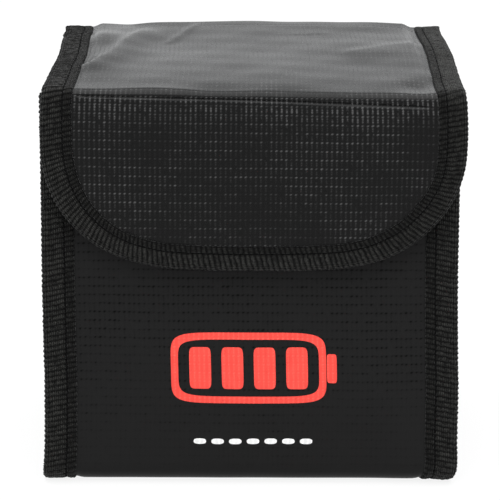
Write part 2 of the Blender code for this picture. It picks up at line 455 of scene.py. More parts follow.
@dataclass(frozen=True)
class Relief:
    """The soft forms of the strip: wrinkles in the lid, the fold's crease and the swell of the front."""

    lid: tuple[Crease, ...] = (
        Crease(
            ((-0.059, -0.026), (-0.0505, -0.0135), (-0.047, -0.004), (-0.0412, 0.0160), (-0.0335, 0.0390)),
            1.2 * MM,
            2.6 * MM,
            6 * MM,
            14 * MM,
        ),
        Crease(((-0.057, 0.0175), (-0.050, 0.0205)), 1.3 * MM, 8 * MM, 8 * MM),
        Crease(((-0.042, 0.043), (-0.036, 0.033)), -0.3 * MM, 4 * MM, 4 * MM),
        Crease(((-0.030, 0.012), (-0.0194, 0.0375), (-0.018, 0.041)), 0.35 * MM, 1.5 * MM, 1.8 * MM, 6 * MM),
        Crease(((0.025, -0.002), (0.045, 0.010), (0.061, 0.016)), 0.5 * MM, 3.6 * MM, 13 * MM, 10 * MM),
        Crease(((0.030, 0.027), (0.058, 0.031)), -0.6 * MM, 9 * MM, 12 * MM),
        Crease(((0.050, -0.034), (0.056, -0.030)), -0.7 * MM, 5 * MM, 5 * MM),
        Crease(((-0.008, 0.041), (0.004, 0.041)), 0.5 * MM, 22 * MM, 22 * MM),
        Crease(((-0.056, -0.046), (-0.042, -0.046)), -0.6 * MM, 15 * MM, 15 * MM),
        Crease(((-0.012, -0.0445), (0.050, -0.043)), -0.85 * MM, 9 * MM, 9 * MM),
    )
    flap: tuple[Crease, ...] = (
        Crease(((-0.056, 0.1237), (0.0, 0.1227), (0.056, 0.1212)), -0.5 * MM, 0.45 * MM, 0.6 * MM),
        Crease(((-0.03, 0.095), (0.03, 0.094)), 0.5 * MM, 14 * MM, 14 * MM),
    )
    front: tuple[Crease, ...] = (
        Crease(((-0.025, 0.034), (0.025, 0.032)), 1.0 * MM, 22 * MM, 22 * MM),
        Crease(((0.030, 0.060), (0.046, 0.010)), 0.5 * MM, 7 * MM, 9 * MM),
        Crease(((-0.050, 0.060), (-0.044, 0.012)), -0.4 * MM, 8 * MM, 8 * MM),
    )
    slow: Ripple = Ripple(0.55 * MM, 46 * MM, 0.4)
    quick: Ripple = Ripple(0.16 * MM, 15 * MM, 1.7)
    tilt: float = 0.25 * MM
    tilt_across: float = 0.009
    puff: float = 1.2 * MM
    sag: float = 0.8 * MM
    free_half: float = 54.0 * MM
    free_ease: float = 3.5 * MM
    lid_half: float = 41.0 * MM
    back_drop: float = 25.0 * MM
    droop: float = 1.0 * MM
    droop_half: float = 56.0 * MM
    droop_end: float = 45.0 * MM

    def between_tapes(self, across: Array) -> Array:
        """How free the cloth is of the tapes, from 0 under them to 1 a little inside them."""
        return smooth((self.free_half - np.abs(across)) / self.free_ease)

    def sunk(self, path: StripPath, across: Array, run: Array) -> Array:
        """How far the lid's front hangs down, from nothing at its left corner to the droop at its right.

        Args:
            path: The strip's path.
            across: Places across the strip.
            run: Places along it.

        Returns:
            The drop at each place.
        """
        marks = path.marks
        flap = marks[Mark.FLAP_TOP]
        stops = (marks[Mark.LID_BACK], marks[Mark.LID_FRONT], flap, flap + self.droop_end)
        ahead = smooth(np.interp(run, stops, (0.0, 1.0, 1.0, 0.0)))
        return self.droop * ahead * np.clip(0.5 + 0.5 * across / self.droop_half, 0.0, 1.0)

    def lift(self, path: StripPath, across: Array, run: Array) -> Array:
        """How far the soft forms raise the strip.

        Args:
            path: The strip's path, which gives each face its own scale.
            across: Places across the strip.
            run: Places along it.

        Returns:
            The lift at each place.
        """
        lid_y = path.run_on_lid(0.0) - run
        flap_z = path.run_on_flap(0.0) - run
        front_z = path.bag.rim - run
        marks = path.marks
        base = (marks[Mark.FRONT_FOOT], marks[Mark.BASE_FRONT], marks[Mark.BASE_BACK], marks[Mark.BACK_FOOT])
        loose = np.interp(run, base, (1.0, 0.0, 0.0, 1.0))
        total = self.slow.lift(across, run) + self.quick.lift(across, run)
        free = self.between_tapes(across)
        whole = np.ones(free.shape)
        faces = ((self.lid, lid_y, whole), (self.flap, flap_z, free), (self.front, front_z, whole))
        for creases, along, share in faces:
            for crease in creases:
                total = total + crease.lift(across, along) * share
        lid = (-self.lid_half, self.lid_half, self.lid_half + self.back_drop)
        raised = np.interp(lid_y, lid, (0.0, 1.0, 0.0))
        total = total + raised * (self.tilt + self.tilt_across * across + self.puff * free)
        return total * loose + self.sag * free * (1.0 - loose)


@dataclass(frozen=True)
class BagSurface:
    """The outer face of the strip, on which every piece of cloth and tape is placed."""

    path: StripPath
    relief: Relief

    def point(self, across: Array, run: Array, lift: Array | float) -> Array:
        """Places on the bag at a height above the strip's face.

        Args:
            across: Places across the flat strip.
            run: Places along it.
            lift: Distance out of the face, negative inwards.

        Returns:
            Rows of (x, y, z).
        """
        path = self.path
        proud = lift + self.relief.lift(path, across, run)
        x = across * path.read(path.width, run) + path.read(path.sway, run)
        y = path.read(path.y, run) + path.read(path.normal_y, run) * proud
        z = path.read(path.z, run) + path.read(path.normal_z, run) * proud
        z = z - self.relief.sunk(path, across, run)
        return np.stack((x, y, np.maximum(z, 0.0)), axis=-1)


def mesh_of(shape: bmesh.types.BMesh, name: str) -> Mesh:
    """Writes a finished shape to a new mesh, and frees it.

    Args:
        shape: The shape.
        name: Name of the mesh.

    Returns:
        The mesh.
    """
    mesh = bpy.data.meshes.new(name)
    shape.to_mesh(mesh)
    shape.free()
    return mesh


@contextmanager
def reworked(mesh: Mesh) -> Iterator[bmesh.types.BMesh]:
    """Opens a mesh as a shape, and writes the shape back after the work.

    Args:
        mesh: The mesh, changed in place.

    Yields:
        The shape to work on.
    """
    shape = bmesh.new()
    shape.from_mesh(mesh)
    yield shape
    shape.to_mesh(mesh)
    shape.free()


def points_of(mesh: Mesh) -> Array:
    """Reads where a mesh's points are.

    Args:
        mesh: The mesh.

    Returns:
        Rows of (x, y, z).
    """
    flat = np.empty(len(mesh.vertices) * 3)
    mesh.vertices.foreach_get("co", flat)
    return flat.reshape(-1, 3)


def set_out(mesh: Mesh, points: Array, flat: Array) -> None:
    """Moves the mesh's points, and gives it a UV map of the flat cloth in metres.

    Args:
        mesh: The mesh, changed in place.
        points: The new place of each point.
        flat: The flat place of each point.
    """
    mesh.vertices.foreach_set("co", points.ravel())
    corner = np.empty(len(mesh.loops), dtype=np.int32)
    mesh.loops.foreach_get("vertex_index", corner)
    layer = mesh.uv_layers.new(name=UV_NAME)
    layer.data.foreach_set("uv", flat[corner].ravel())


def grid_mesh(name: str, columns: int, rows: int, place: Place, weld: float = 0.0) -> Mesh:
    """A mesh from one grid, bent to its place.

    Args:
        name: Name of the mesh.
        columns: Faces across.
        rows: Faces along.
        place: Takes the shares across and along, from 0 to 1, and gives points and flat places.
        weld: Distance within which points are merged, where the grid closes on itself.

    Returns:
        The finished mesh, shaded smooth.
    """
    shape = bmesh.new()
    bmesh.ops.create_grid(shape, x_segments=columns, y_segments=rows, size=0.5)
    mesh = mesh_of(shape, name)
    unit = points_of(mesh) + 0.5
    set_out(mesh, *place(unit[:, 0], unit[:, 1]))
    if weld:
        with reworked(mesh) as shape:
            bmesh.ops.remove_doubles(shape, verts=shape.verts[:], dist=weld)
            bmesh.ops.dissolve_degenerate(shape, dist=weld, edges=shape.edges[:])
            bmesh.ops.recalc_face_normals(shape, faces=shape.faces[:])
    mesh.shade_smooth()
    mesh.update()
    return mesh


@dataclass(frozen=True)
class NodeBench:
    """Places and wires nodes in one tree."""

    tree: Tree

    def add(self, kind: str, fed: dict | None = None, **settings: object) -> Node:
        """A new node, set and then fed.

        Args:
            kind: Its type.
            fed: What goes into its inputs, by their names or numbers.
            **settings: Its properties.

        Returns:
            The node.
        """
        node = self.tree.nodes.new(kind)
        for key, value in settings.items():
            setattr(node, key, value)
        for key, value in (fed or {}).items():
            self.feed(node.inputs[key], value)
        return node

    def feed(self, socket: Socket, value: object) -> None:
        """Links a socket into an input, or sets the input to a plain value.

        Args:
            socket: The input.
            value: A socket, or else a number, vector or colour.
        """
        if isinstance(value, Socket):
            self.tree.links.new(value, socket)
        else:
            socket.default_value = value

    def math(self, operation: str, *values: object) -> Socket:
        """The result of a Math node on up to three sockets or numbers."""
        return self.add("ShaderNodeMath", dict(enumerate(values)), operation=operation).outputs[0]

    def times(self, *values: object) -> Socket:
        """The product of two or more values."""
        return functools.reduce(lambda first, second: self.math("MULTIPLY", first, second), values)

    def fit(self, value: object, scale: object, offset: object) -> Socket:
        """A value times a scale, plus an offset."""
        return self.math("MULTIPLY_ADD", value, scale, offset)

    def bell(self, value: Socket, width: float) -> Socket:
        """A smooth hump round zero, from 0 to 1, by its half width."""
        scaled = self.times(value, 1.0 / width)
        return self.math("EXPONENT", self.times(scaled, scaled, -1.0))

    def mix(self, share: object, first: object, second: object) -> Socket:
        """A colour between two colours, by the share of the second."""
        fed = dict(zip(MIX_INPUTS, (share, first, second)))
        return self.add("ShaderNodeMix", fed, data_type="RGBA").outputs[MIX_RESULT]

    def group(self, tree: Tree, **values: object) -> Outputs:
        """The outputs of a group node, with its inputs fed by name."""
        return self.add("ShaderNodeGroup", values, node_tree=tree).outputs

    def flat(self) -> Socket:
        """The place on the flat cloth, from the UV map."""
        return self.add("ShaderNodeUVMap", uv_map=UV_NAME).outputs[0]

    def place(self) -> Socket:
        """The place on the object."""
        return self.add("ShaderNodeTexCoord").outputs["Object"]

    def axes(self, vector: Socket) -> Outputs:
        """A vector's three parts."""
        return self.add("ShaderNodeSeparateXYZ", {0: vector}).outputs


@dataclass(frozen=True)
class Pattern:
    """An effect that finishes share, made into one shader group that gives plain values."""

    name: str
    sizes: tuple[str, ...]
    results: tuple[str, ...]

    def group(self) -> Tree:
        """The pattern's group, made once.

        Returns:
            The group, from the file if it is there already.
        """
        found = bpy.data.node_groups.get(self.name)
        if found:
            return found
        tree = bpy.data.node_groups.new(self.name, "ShaderNodeTree")
        tree.interface.new_socket("Vector", in_out="INPUT", socket_type="NodeSocketVector")
        for key in self.sizes:
            tree.interface.new_socket(key, in_out="INPUT", socket_type="NodeSocketFloat")
        for key in self.results:
            tree.interface.new_socket(key, in_out="OUTPUT", socket_type="NodeSocketFloat")
        bench = NodeBench(tree)
        entry = bench.add("NodeGroupInput").outputs
        leave = bench.add("NodeGroupOutput").inputs
        for key, value in zip(self.results, self.draw(bench, entry)):
            bench.feed(leave[key], value)
        return tree

    def draw(self, bench: NodeBench, entry: Outputs) -> tuple[Socket, ...]:
        """Wires the results in order, which each pattern does in its own way."""
        raise NotImplementedError


@dataclass(frozen=True)
class GridWeave(Pattern):
    """The coated grid cloth: a smooth film over a scrim that shows as rows of dashes and of split strokes."""

    name: str = "grid_weave"
    sizes: tuple[str, ...] = ("Column", "Row")
    results: tuple[str, ...] = ("Height", "Raised", "Dash", "Stroke", "Band")
    slant: float = 0.14
    dash_at: float = 0.2
    dash_wide: float = 0.21
    dash_thick: float = 0.085
    stroke_at: float = 0.66
    stroke_wide: float = 0.15
    stroke_long: float = 0.22
    stroke_rise: float = 0.75
    split: float = 0.06
    split_depth: float = 0.8
    warp_wide: float = 0.22
    warp_rise: float = 0.16
    band_thick: float = 0.24

    def draw(self, bench: NodeBench, entry: Outputs) -> tuple[Socket, ...]:
        """Wires the scrim.

        Args:
            bench: The group's bench.
            entry: The group's inputs.

        Returns:
            Its height, its raised yarns, its dashes, its strokes and the bands of its dashes.
        """
        parts = bench.axes(entry["Vector"])
        column = bench.math("FRACT", bench.math("DIVIDE", parts[0], entry["Column"]))
        row = bench.math("FRACT", bench.math("DIVIDE", parts[1], entry["Row"]))
        across = bench.math("SUBTRACT", column, 0.5)
        dash_row = bench.fit(across, self.slant, bench.math("SUBTRACT", row, self.dash_at))
        stroke_row = bench.math("SUBTRACT", row, self.stroke_at)
        dash = bench.times(bench.bell(across, self.dash_wide), bench.bell(dash_row, self.dash_thick))
        stroke = bench.times(bench.bell(across, self.stroke_wide), bench.bell(stroke_row, self.stroke_long))
        stroke = bench.times(stroke, bench.fit(bench.bell(stroke_row, self.split), -self.split_depth, 1.0))
        warp = bench.times(bench.bell(across, self.warp_wide), self.warp_rise)
        height = bench.math("ADD", bench.fit(stroke, self.stroke_rise, dash), warp)
        raised = bench.math("MINIMUM", height, 1.0)
        return height, raised, dash, stroke, bench.bell(dash_row, self.band_thick)


@dataclass(frozen=True)
class FibreGrain(Pattern):
    """Fine fibres and slow shade, both from 0 to 1, for every cloth, tape and felt."""

    name: str = "fibre_grain"
    sizes: tuple[str, ...] = ("Fine", "Slow")
    results: tuple[str, ...] = ("Grain", "Shade")
    details: tuple[float, float] = (4.0, 2.0)

    def draw(self, bench: NodeBench, entry: Outputs) -> tuple[Socket, ...]:
        """Wires two scales of noise.

        Args:
            bench: The group's bench.
            entry: The group's inputs.

        Returns:
            The grain and the shade.
        """
        found = []
        for size, detail in zip(self.sizes, self.details):
            fed = {"Vector": entry["Vector"], "Scale": entry[size], "Detail": detail}
            found.append(bench.add("ShaderNodeTexNoise", fed).outputs[0])
        return tuple(found)


@dataclass(frozen=True)
class BrickYarn(Pattern):
    """Binding tape's face: cross ribs of short floats, each column of floats a little behind the last."""

    name: str = "brick_yarn"
    sizes: tuple[str, ...] = ("Float", "Column")
    results: tuple[str, ...] = ("Height",)
    behind: float = 0.075
    blunt: float = 0.7
    between: float = 0.2

    def draw(self, bench: NodeBench, entry: Outputs) -> tuple[Socket, ...]:
        """Wires the ribs and their floats.

        Args:
            bench: The group's bench.
            entry: The group's inputs.

        Returns:
            The floats' height.
        """
        parts = bench.axes(entry["Vector"])
        column = bench.math("DIVIDE", parts[1], entry["Column"])
        behind = bench.times(bench.math("FLOOR", column), -self.behind)
        along = bench.math("ADD", bench.math("DIVIDE", parts[0], entry["Float"]), behind)
        rib = bench.math("SINE", bench.times(bench.math("FRACT", along), math.pi))
        yarn = bench.math("SINE", bench.times(bench.math("FRACT", column), math.pi))
        broken = bench.fit(bench.math("POWER", yarn, self.blunt), 1.0 - self.between, self.between)
        return (bench.times(rib, broken),)


@dataclass(frozen=True)
class PlainYarn(Pattern):
    """A plain over-and-under weave of round yarns."""

    name: str = "plain_yarn"
    sizes: tuple[str, ...] = ("Pitch",)
    results: tuple[str, ...] = ("Height",)

    def draw(self, bench: NodeBench, entry: Outputs) -> tuple[Socket, ...]:
        """Wires the crossing yarns.

        Args:
            bench: The group's bench.
            entry: The group's inputs.

        Returns:
            The yarns' height.
        """
        waves = []
        for part in bench.axes(entry["Vector"])[:2]:
            turns = bench.math("DIVIDE", part, entry["Pitch"])
            waves.append(bench.math("SINE", bench.times(turns, math.pi)))
        return (bench.fit(bench.times(*waves), 0.5, 0.5),)


def fibres(bench: NodeBench, fine: float, slow: float) -> tuple[Socket, Socket]:
    """The fibre pattern on the object.

    Args:
        bench: The material's bench.
        fine: Scale of the grain.
        slow: Scale of the shade.

    Returns:
        The grain and the shade.
    """
    made = bench.group(FibreGrain().group(), Vector=bench.place(), Fine=fine, Slow=slow)
    return made["Grain"], made["Shade"]


@dataclass(frozen=True)
class Finish:
    """A surface finish, made into a material once. Its roughness wanders over a span."""

    name: str
    low: Colour
    high: Colour
    roughness: float
    specular: float
    bump: float
    rough_span: float = 0.15
    fine: float = 2600.0
    slow: float = 60.0

    def material(self) -> bpy.types.Material:
        """The finish's material, made once.

        Returns:
            The material, from the file if it is there already.
        """
        found = bpy.data.materials.get(self.name)
        if found:
            return found
        made = bpy.data.materials.new(self.name)
        made.use_nodes = True
        shader = made.node_tree.nodes["Principled BSDF"]
        shader.inputs["Specular IOR Level"].default_value = self.specular
        self.wire(NodeBench(made.node_tree), shader)
        return made

    def wire(self, bench: NodeBench, shader: Node) -> None:
        """Wires the finish's pattern into its shader, which each finish does in its own way."""
        raise NotImplementedError

    def paint(self, bench: NodeBench, shader: Node, share: Socket) -> None:
        """Feeds the colour between the low and the high one, by the share of the high one."""
        bench.feed(shader.inputs["Base Color"], bench.mix(share, self.low, self.high))

    def relief(self, bench: NodeBench, shader: Node, height: Socket) -> None:
        """Feeds a height into the shader's normal at the finish's bump distance."""
        bump = bench.add("ShaderNodeBump", {"Distance": self.bump, "Height": height})
        bench.feed(shader.inputs["Normal"], bump.outputs[0])

    def rough(self, bench: NodeBench, shader: Node, change: Socket) -> None:
        """Lets the roughness wander with a pattern, by half the span either way."""
        offset = self.roughness - self.rough_span / 2
        bench.feed(shader.inputs["Roughness"], bench.fit(change, self.rough_span, offset))


@dataclass(frozen=True)
class GridCloth(Finish):
    """Coated grid cloth: a dark film, with the scrim's yarns painted into it here and there as glints.

    The painted glints on the strokes show most round one run of the strip, the crest, and the whole painted
    scrim changes strength with height. Where the high colour is the darker one, the marks are painted shade.
    """

    rough_span: float = 0.16
    column: float = 1.5 * MM
    row: float = 2.7 * MM
    stroke: float = 0.3
    band: float = 0.0
    gain: float = 1.0
    spark: float = 620.0
    spark_gain: float = 4.6
    spark_floor: float = 1.5
    patchy: float = 4.0
    patch_mean: float = 0.8
    patch_least: float = 0.25
    crest: float = -1.0
    crest_reach: float = 3.6 * MM
    crest_gain: float = 1.8
    fade: float = 1.0
    fade_rise: float = 0.0
    grain_rise: float = 0.05

    def wire(self, bench: NodeBench, shader: Node) -> None:
        """Painted glints on the scrim from the flat cloth's UV map, uneven here and there, with a fine grain.

        Args:
            bench: The material's bench.
            shader: Its shader.
        """
        flat = bench.flat()
        weave = bench.group(GridWeave().group(), Vector=flat, Column=self.column, Row=self.row)
        grain, shade = fibres(bench, self.fine, self.slow)
        spark, _ = fibres(bench, self.spark, self.slow)
        # Painted highlight: the strokes' painted glints are strongest near the crest, just under the fold.
        near = bench.bell(bench.math("SUBTRACT", bench.axes(flat)[1], self.crest), self.crest_reach)
        stroke = bench.fit(near, self.crest_gain, self.stroke)
        yarns = bench.fit(weave["Stroke"], stroke, weave["Dash"])
        # Rows of painted shade across the pressed front.
        yarns = bench.fit(weave["Band"], self.band, yarns)
        # Random unevenness of the painted glints, spot by spot and patch by patch.
        each = bench.math("MAXIMUM", bench.fit(spark, self.spark_gain, -self.spark_floor), 0.0)
        patch = bench.fit(shade, self.patchy, self.patch_mean - self.patchy / 2)
        uneven = bench.times(each, bench.math("MAXIMUM", patch, self.patch_least))
        height = bench.axes(bench.place())[2]
        # On the pressed front the painted shade dots grow stronger with height, towards the flap.
        faded = bench.fit(height, self.gain * self.fade_rise, self.gain * self.fade)
        # The glints go into the base colour as painted highlights; on the pressed front, as painted shade
        # dots.
        self.paint(bench, shader, bench.times(yarns, uneven, faded))
        self.rough(bench, shader, grain)
        self.relief(bench, shader, bench.fit(grain, self.grain_rise, weave["Height"]))


@dataclass(frozen=True)
class RibbedTape(Finish):
    """Ribbed binding tape: dull yarns in cross ribs, cords along its folded edge, and a sewn groove.

    Its UV map gives the length along the tape, and the distance out from the groove.
    """

    fine: float = 2400.0
    slow: float = 600.0
    float_length: float = 1.6 * MM
    column: float = 0.6 * MM
    wander: Point = (0.9 * MM, 0.7 * MM, 0.0)
    wander_scale: float = 600.0
    band: float = 0.55
    band_edge: float = -2.75 * MM
    shadow: float = 0.95
    sewn: float = 0.45 * MM
    sewn_shade: float = 0.97
    cord: float = 0.85 * MM
    cord_start: float = 5.6 * MM
    cord_reach: float = 1.3 * MM
    cord_rise: float = 0.3
    speck_gain: float = 2.6
    speck_floor: float = 0.5
    least_lit: float = 0.1
    crest_power: float = 1.3
    wear: float = 0.5
    grain_rise: float = 0.3
    sheen: float = 0.07
    sheen_rough: float = 0.35

    def wire(self, bench: NodeBench, shader: Node) -> None:
        """Floats along the tape, pushed by a little noise, with painted shade in the groove and inside it.

        Args:
            bench: The material's bench.
            shader: Its shader.
        """
        flat = bench.flat()
        noise = bench.add("ShaderNodeTexNoise", {"Vector": bench.place(), "Scale": self.wander_scale})
        fed = {0: noise.outputs["Color"], 1: self.wander, 2: flat}
        pushed = bench.add("ShaderNodeVectorMath", fed, operation="MULTIPLY_ADD").outputs[0]
        yarn = bench.group(BrickYarn().group(), Vector=pushed, Float=self.float_length, Column=self.column)
        grain, shade = fibres(bench, self.fine, self.slow)
        out = bench.axes(flat)[1]
        turns = bench.times(out, 2 * math.pi / self.cord)
        edge = bench.bell(bench.math("SUBTRACT", out, self.cord_start), self.cord_reach)
        cords = bench.times(bench.math("COSINE", turns), edge)
        height = bench.fit(cords, self.cord_rise, yarn["Height"])
        # Painted shade on the band inside the groove, where the tape lies flatter.
        inside = bench.fit(bench.math("LESS_THAN", out, 0.0), self.band - 1.0, 1.0)
        # Painted shadow along the tape's inner edge.
        under = bench.fit(bench.math("LESS_THAN", out, self.band_edge), -self.shadow, 1.0)
        pressed = bench.times(inside, under)
        # Painted shade in the sewn groove.
        groove = bench.fit(bench.bell(out, self.sewn), -self.sewn_shade, 1.0)
        # Painted highlight specks from two noises; the fine one also sets the worn roughness.
        speck = bench.fit(grain, self.speck_gain, -self.speck_floor)
        lit = bench.times(bench.fit(shade, self.speck_gain, -self.speck_floor), speck)
        lit = bench.math("MAXIMUM", lit, self.least_lit)
        # Painted shade between the ribs and cords, and painted light on their tops.
        crest = bench.math("POWER", bench.math("MAXIMUM", height, 0.0), self.crest_power)
        self.paint(bench, shader, bench.times(bench.times(crest, lit), bench.times(pressed, groove)))
        worn = bench.times(bench.times(height, groove), bench.times(speck, pressed))
        bench.feed(shader.inputs["Roughness"], bench.fit(worn, -self.wear, self.roughness))
        shader.inputs["Sheen Weight"].default_value = self.sheen
        shader.inputs["Sheen Roughness"].default_value = self.sheen_rough
        self.relief(bench, shader, bench.fit(grain, self.grain_rise, height))


@dataclass(frozen=True)
class PlainCloth(Finish):
    """Plain woven cloth, for the lining and the sewing thread."""

    fine: float = 1800.0
    slow: float = 45.0
    pitch: float = 0.55 * MM
    yarn_share: float = 0.5
    grain_rise: float = 0.3

    def wire(self, bench: NodeBench, shader: Node) -> None:
        """A plain weave on the flat cloth, a little uneven in shade.

        Args:
            bench: The material's bench.
            shader: Its shader.
        """
        yarn = bench.group(PlainYarn().group(), Vector=bench.flat(), Pitch=self.pitch)["Height"]
        grain, shade = fibres(bench, self.fine, self.slow)
        self.paint(bench, shader, bench.fit(yarn, self.yarn_share, shade))
        self.rough(bench, shader, grain)
        self.relief(bench, shader, bench.fit(grain, self.grain_rise, yarn))


@dataclass(frozen=True)
class Fuzz(Finish):
    """Felt and pile: a tangle of short fibres."""

    fine: float = 1500.0
    slow: float = 160.0

    def wire(self, bench: NodeBench, shader: Node) -> None:
        """Two scales of tangle in colour and height.

        Args:
            bench: The material's bench.
            shader: Its shader.
        """
        grain, shade = fibres(bench, self.fine, self.slow)
        self.paint(bench, shader, grain)
        self.rough(bench, shader, shade)
        self.relief(bench, shader, bench.math("ADD", grain, shade))


@dataclass(frozen=True)
class PrintInk(Finish):
    """Screen ink that takes the cloth's grid, thinner in its grooves."""

    slow: float = 300.0
    column: float = 1.5 * MM
    row: float = 2.7 * MM
    shade_share: float = 0.5

    def wire(self, bench: NodeBench, shader: Node) -> None:
        """The cloth's raised yarns under a film of ink.

        Args:
            bench: The material's bench.
            shader: Its shader.
        """
        weave = bench.group(GridWeave().group(), Vector=bench.flat(), Column=self.column, Row=self.row)
        grain, shade = fibres(bench, self.fine, self.slow)
        self.paint(bench, shader, bench.fit(shade, self.shade_share, weave["Raised"]))
        self.rough(bench, shader, grain)
        self.relief(bench, shader, weave["Height"])


def grey(value: float, warmth: float = 0.0) -> Colour:
    """A near-neutral colour of one brightness, whose warmth is the share that red gains and blue loses."""
    return (value * (1 + warmth), value, value * (1 - warmth), 1.0)


# Dark film; the high colour is painted glints, painted highlights on the scrim's yarns.
CLOTH = GridCloth(
    "coated_grid_cloth", grey(0.0024), grey(0.060), roughness=0.28, specular=0.13, bump=0.09 * MM
)
# The front's cloth: lower bump and gloss for its pressing, and a darker high colour that paints the scrim's
# rows as painted shade dots, stronger higher up.
PRESSED_SHADED_CLOTH = GridCloth(
    "pressed_grid_cloth",
    grey(0.0095),
    grey(0.0004),
    roughness=0.42,
    specular=0.06,
    bump=0.03 * MM,
    gain=2.2,
    band=0.11,
    patchy=2.0,
    fade=0.1,
    fade_rise=11.0,
)
# The colour runs from painted shade between the ribs (low) to painted light on the rib tops (high).
TAPE = RibbedTape(
    "ribbed_binding_tape",
    grey(0.0006, 0.03),
    (0.0290, 0.0290, 0.0268, 1.0),
    roughness=0.95,
    specular=0.10,
    bump=0.35 * MM,
)
# The side seams' tape: the same tape with a fainter painted shadow along its inner edge.
SEAM_TAPE_SOFT_SHADOW = replace(TAPE, name="pressed_binding_tape", shadow=0.3)
LINING = PlainCloth("black_lining", grey(0.010), grey(0.030), roughness=0.66, specular=0.35, bump=0.08 * MM)
THREAD = PlainCloth(
    "sewing_thread", grey(0.0012), grey(0.004), roughness=0.95, specular=0.08, bump=0.05 * MM, pitch=0.3 * MM
)
FELT = Fuzz("heat_felt", grey(0.38, 0.05), grey(0.66, 0.04), roughness=0.95, specular=0.1, bump=0.3 * MM)
HOOKS = Fuzz("hook_tape", grey(0.006), grey(0.02), roughness=0.6, specular=0.4, bump=0.2 * MM, fine=900.0)
LOOPS = Fuzz("loop_tape", grey(0.008), grey(0.03), roughness=0.9, specular=0.2, bump=0.35 * MM, fine=1300.0)
RED_INK = PrintInk(
    "red_ink", (0.62, 0.03, 0.02, 1.0), (0.95, 0.075, 0.05, 1.0), roughness=0.5, specular=0.4, bump=0.12 * MM
)
WHITE_INK = PrintInk("white_ink", grey(0.6), grey(0.92), roughness=0.5, specular=0.4, bump=0.12 * MM)


@dataclass(frozen=True)
class Bend:
    """The stretch over which a piece would turn from one body to the next; nothing here bends the piece."""

    first: Body
    second: Body
    start: Point
    end: Point


@dataclass(frozen=True)
class Plan:
    """What a piece is called, what carries it, and which solids and slot it stands for."""

    name: str
    slot: Slot
    carrier: Body | Bend
    stands_for: tuple[str, ...] = ()


@dataclass(frozen=True)
class Settle:
    """The mouth of the box giving way under the lid's drooping front."""

    left: float = 0.6 * MM
    right: float = 1.7 * MM
    half: float = 56.0 * MM
    front: float = -40.0 * MM
    back: float = 38.0 * MM
    rim: float = 123.0 * MM
    reach: float = 32.0 * MM

    def press(self, mesh: Mesh) -> None:
        """Lowers the mesh towards the mouth's front, most at the right.

        Args:
            mesh: The mesh of a piece of the box.
        """
        points = points_of(mesh)
        depth = np.interp(points[:, 0], (-self.half, self.half), (self.left, self.right))
        ahead = smooth((self.back - points[:, 1]) / (self.back - self.front))
        high = smooth((points[:, 2] - self.rim + self.reach) / self.reach)
        points[:, 2] -= depth * ahead * high
        mesh.vertices.foreach_set("co", points.ravel())
        mesh.update()


def add_piece(plan: Plan, mesh: Mesh, finish: Finish, wall: float = 0.0) -> bpy.types.Object:
    """Puts a finished mesh in the scene, and parents it to its body's empty where a body carries it.

    Args:
        plan: The piece's name, carrier, solids and slot.
        mesh: Its mesh, in place.
        finish: Its finish.
        wall: Thickness inward from the mesh, where the mesh is an open sheet.

    Returns:
        The piece.
    """
    if plan.carrier is Body.BAG:
        Settle().press(mesh)
    mesh.materials.clear()
    mesh.materials.append(finish.material())
    item = bpy.data.objects.new(plan.name, mesh)
    bpy.context.scene.collection.objects.link(item)
    if wall:
        thick = item.modifiers.new("wall", "SOLIDIFY")
        thick.thickness = wall
        thick.offset = -1.0
    if isinstance(plan.carrier, Bend):
        bend = plan.carrier
        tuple(bend.start)
        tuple(bend.end)
        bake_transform(item)
    else:
        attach(item, plan.carrier.value)
    if plan.stands_for:
        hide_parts(*plan.stands_for)
    LOG.info("%s: %d faces", plan.name, len(mesh.polygons))
    return item


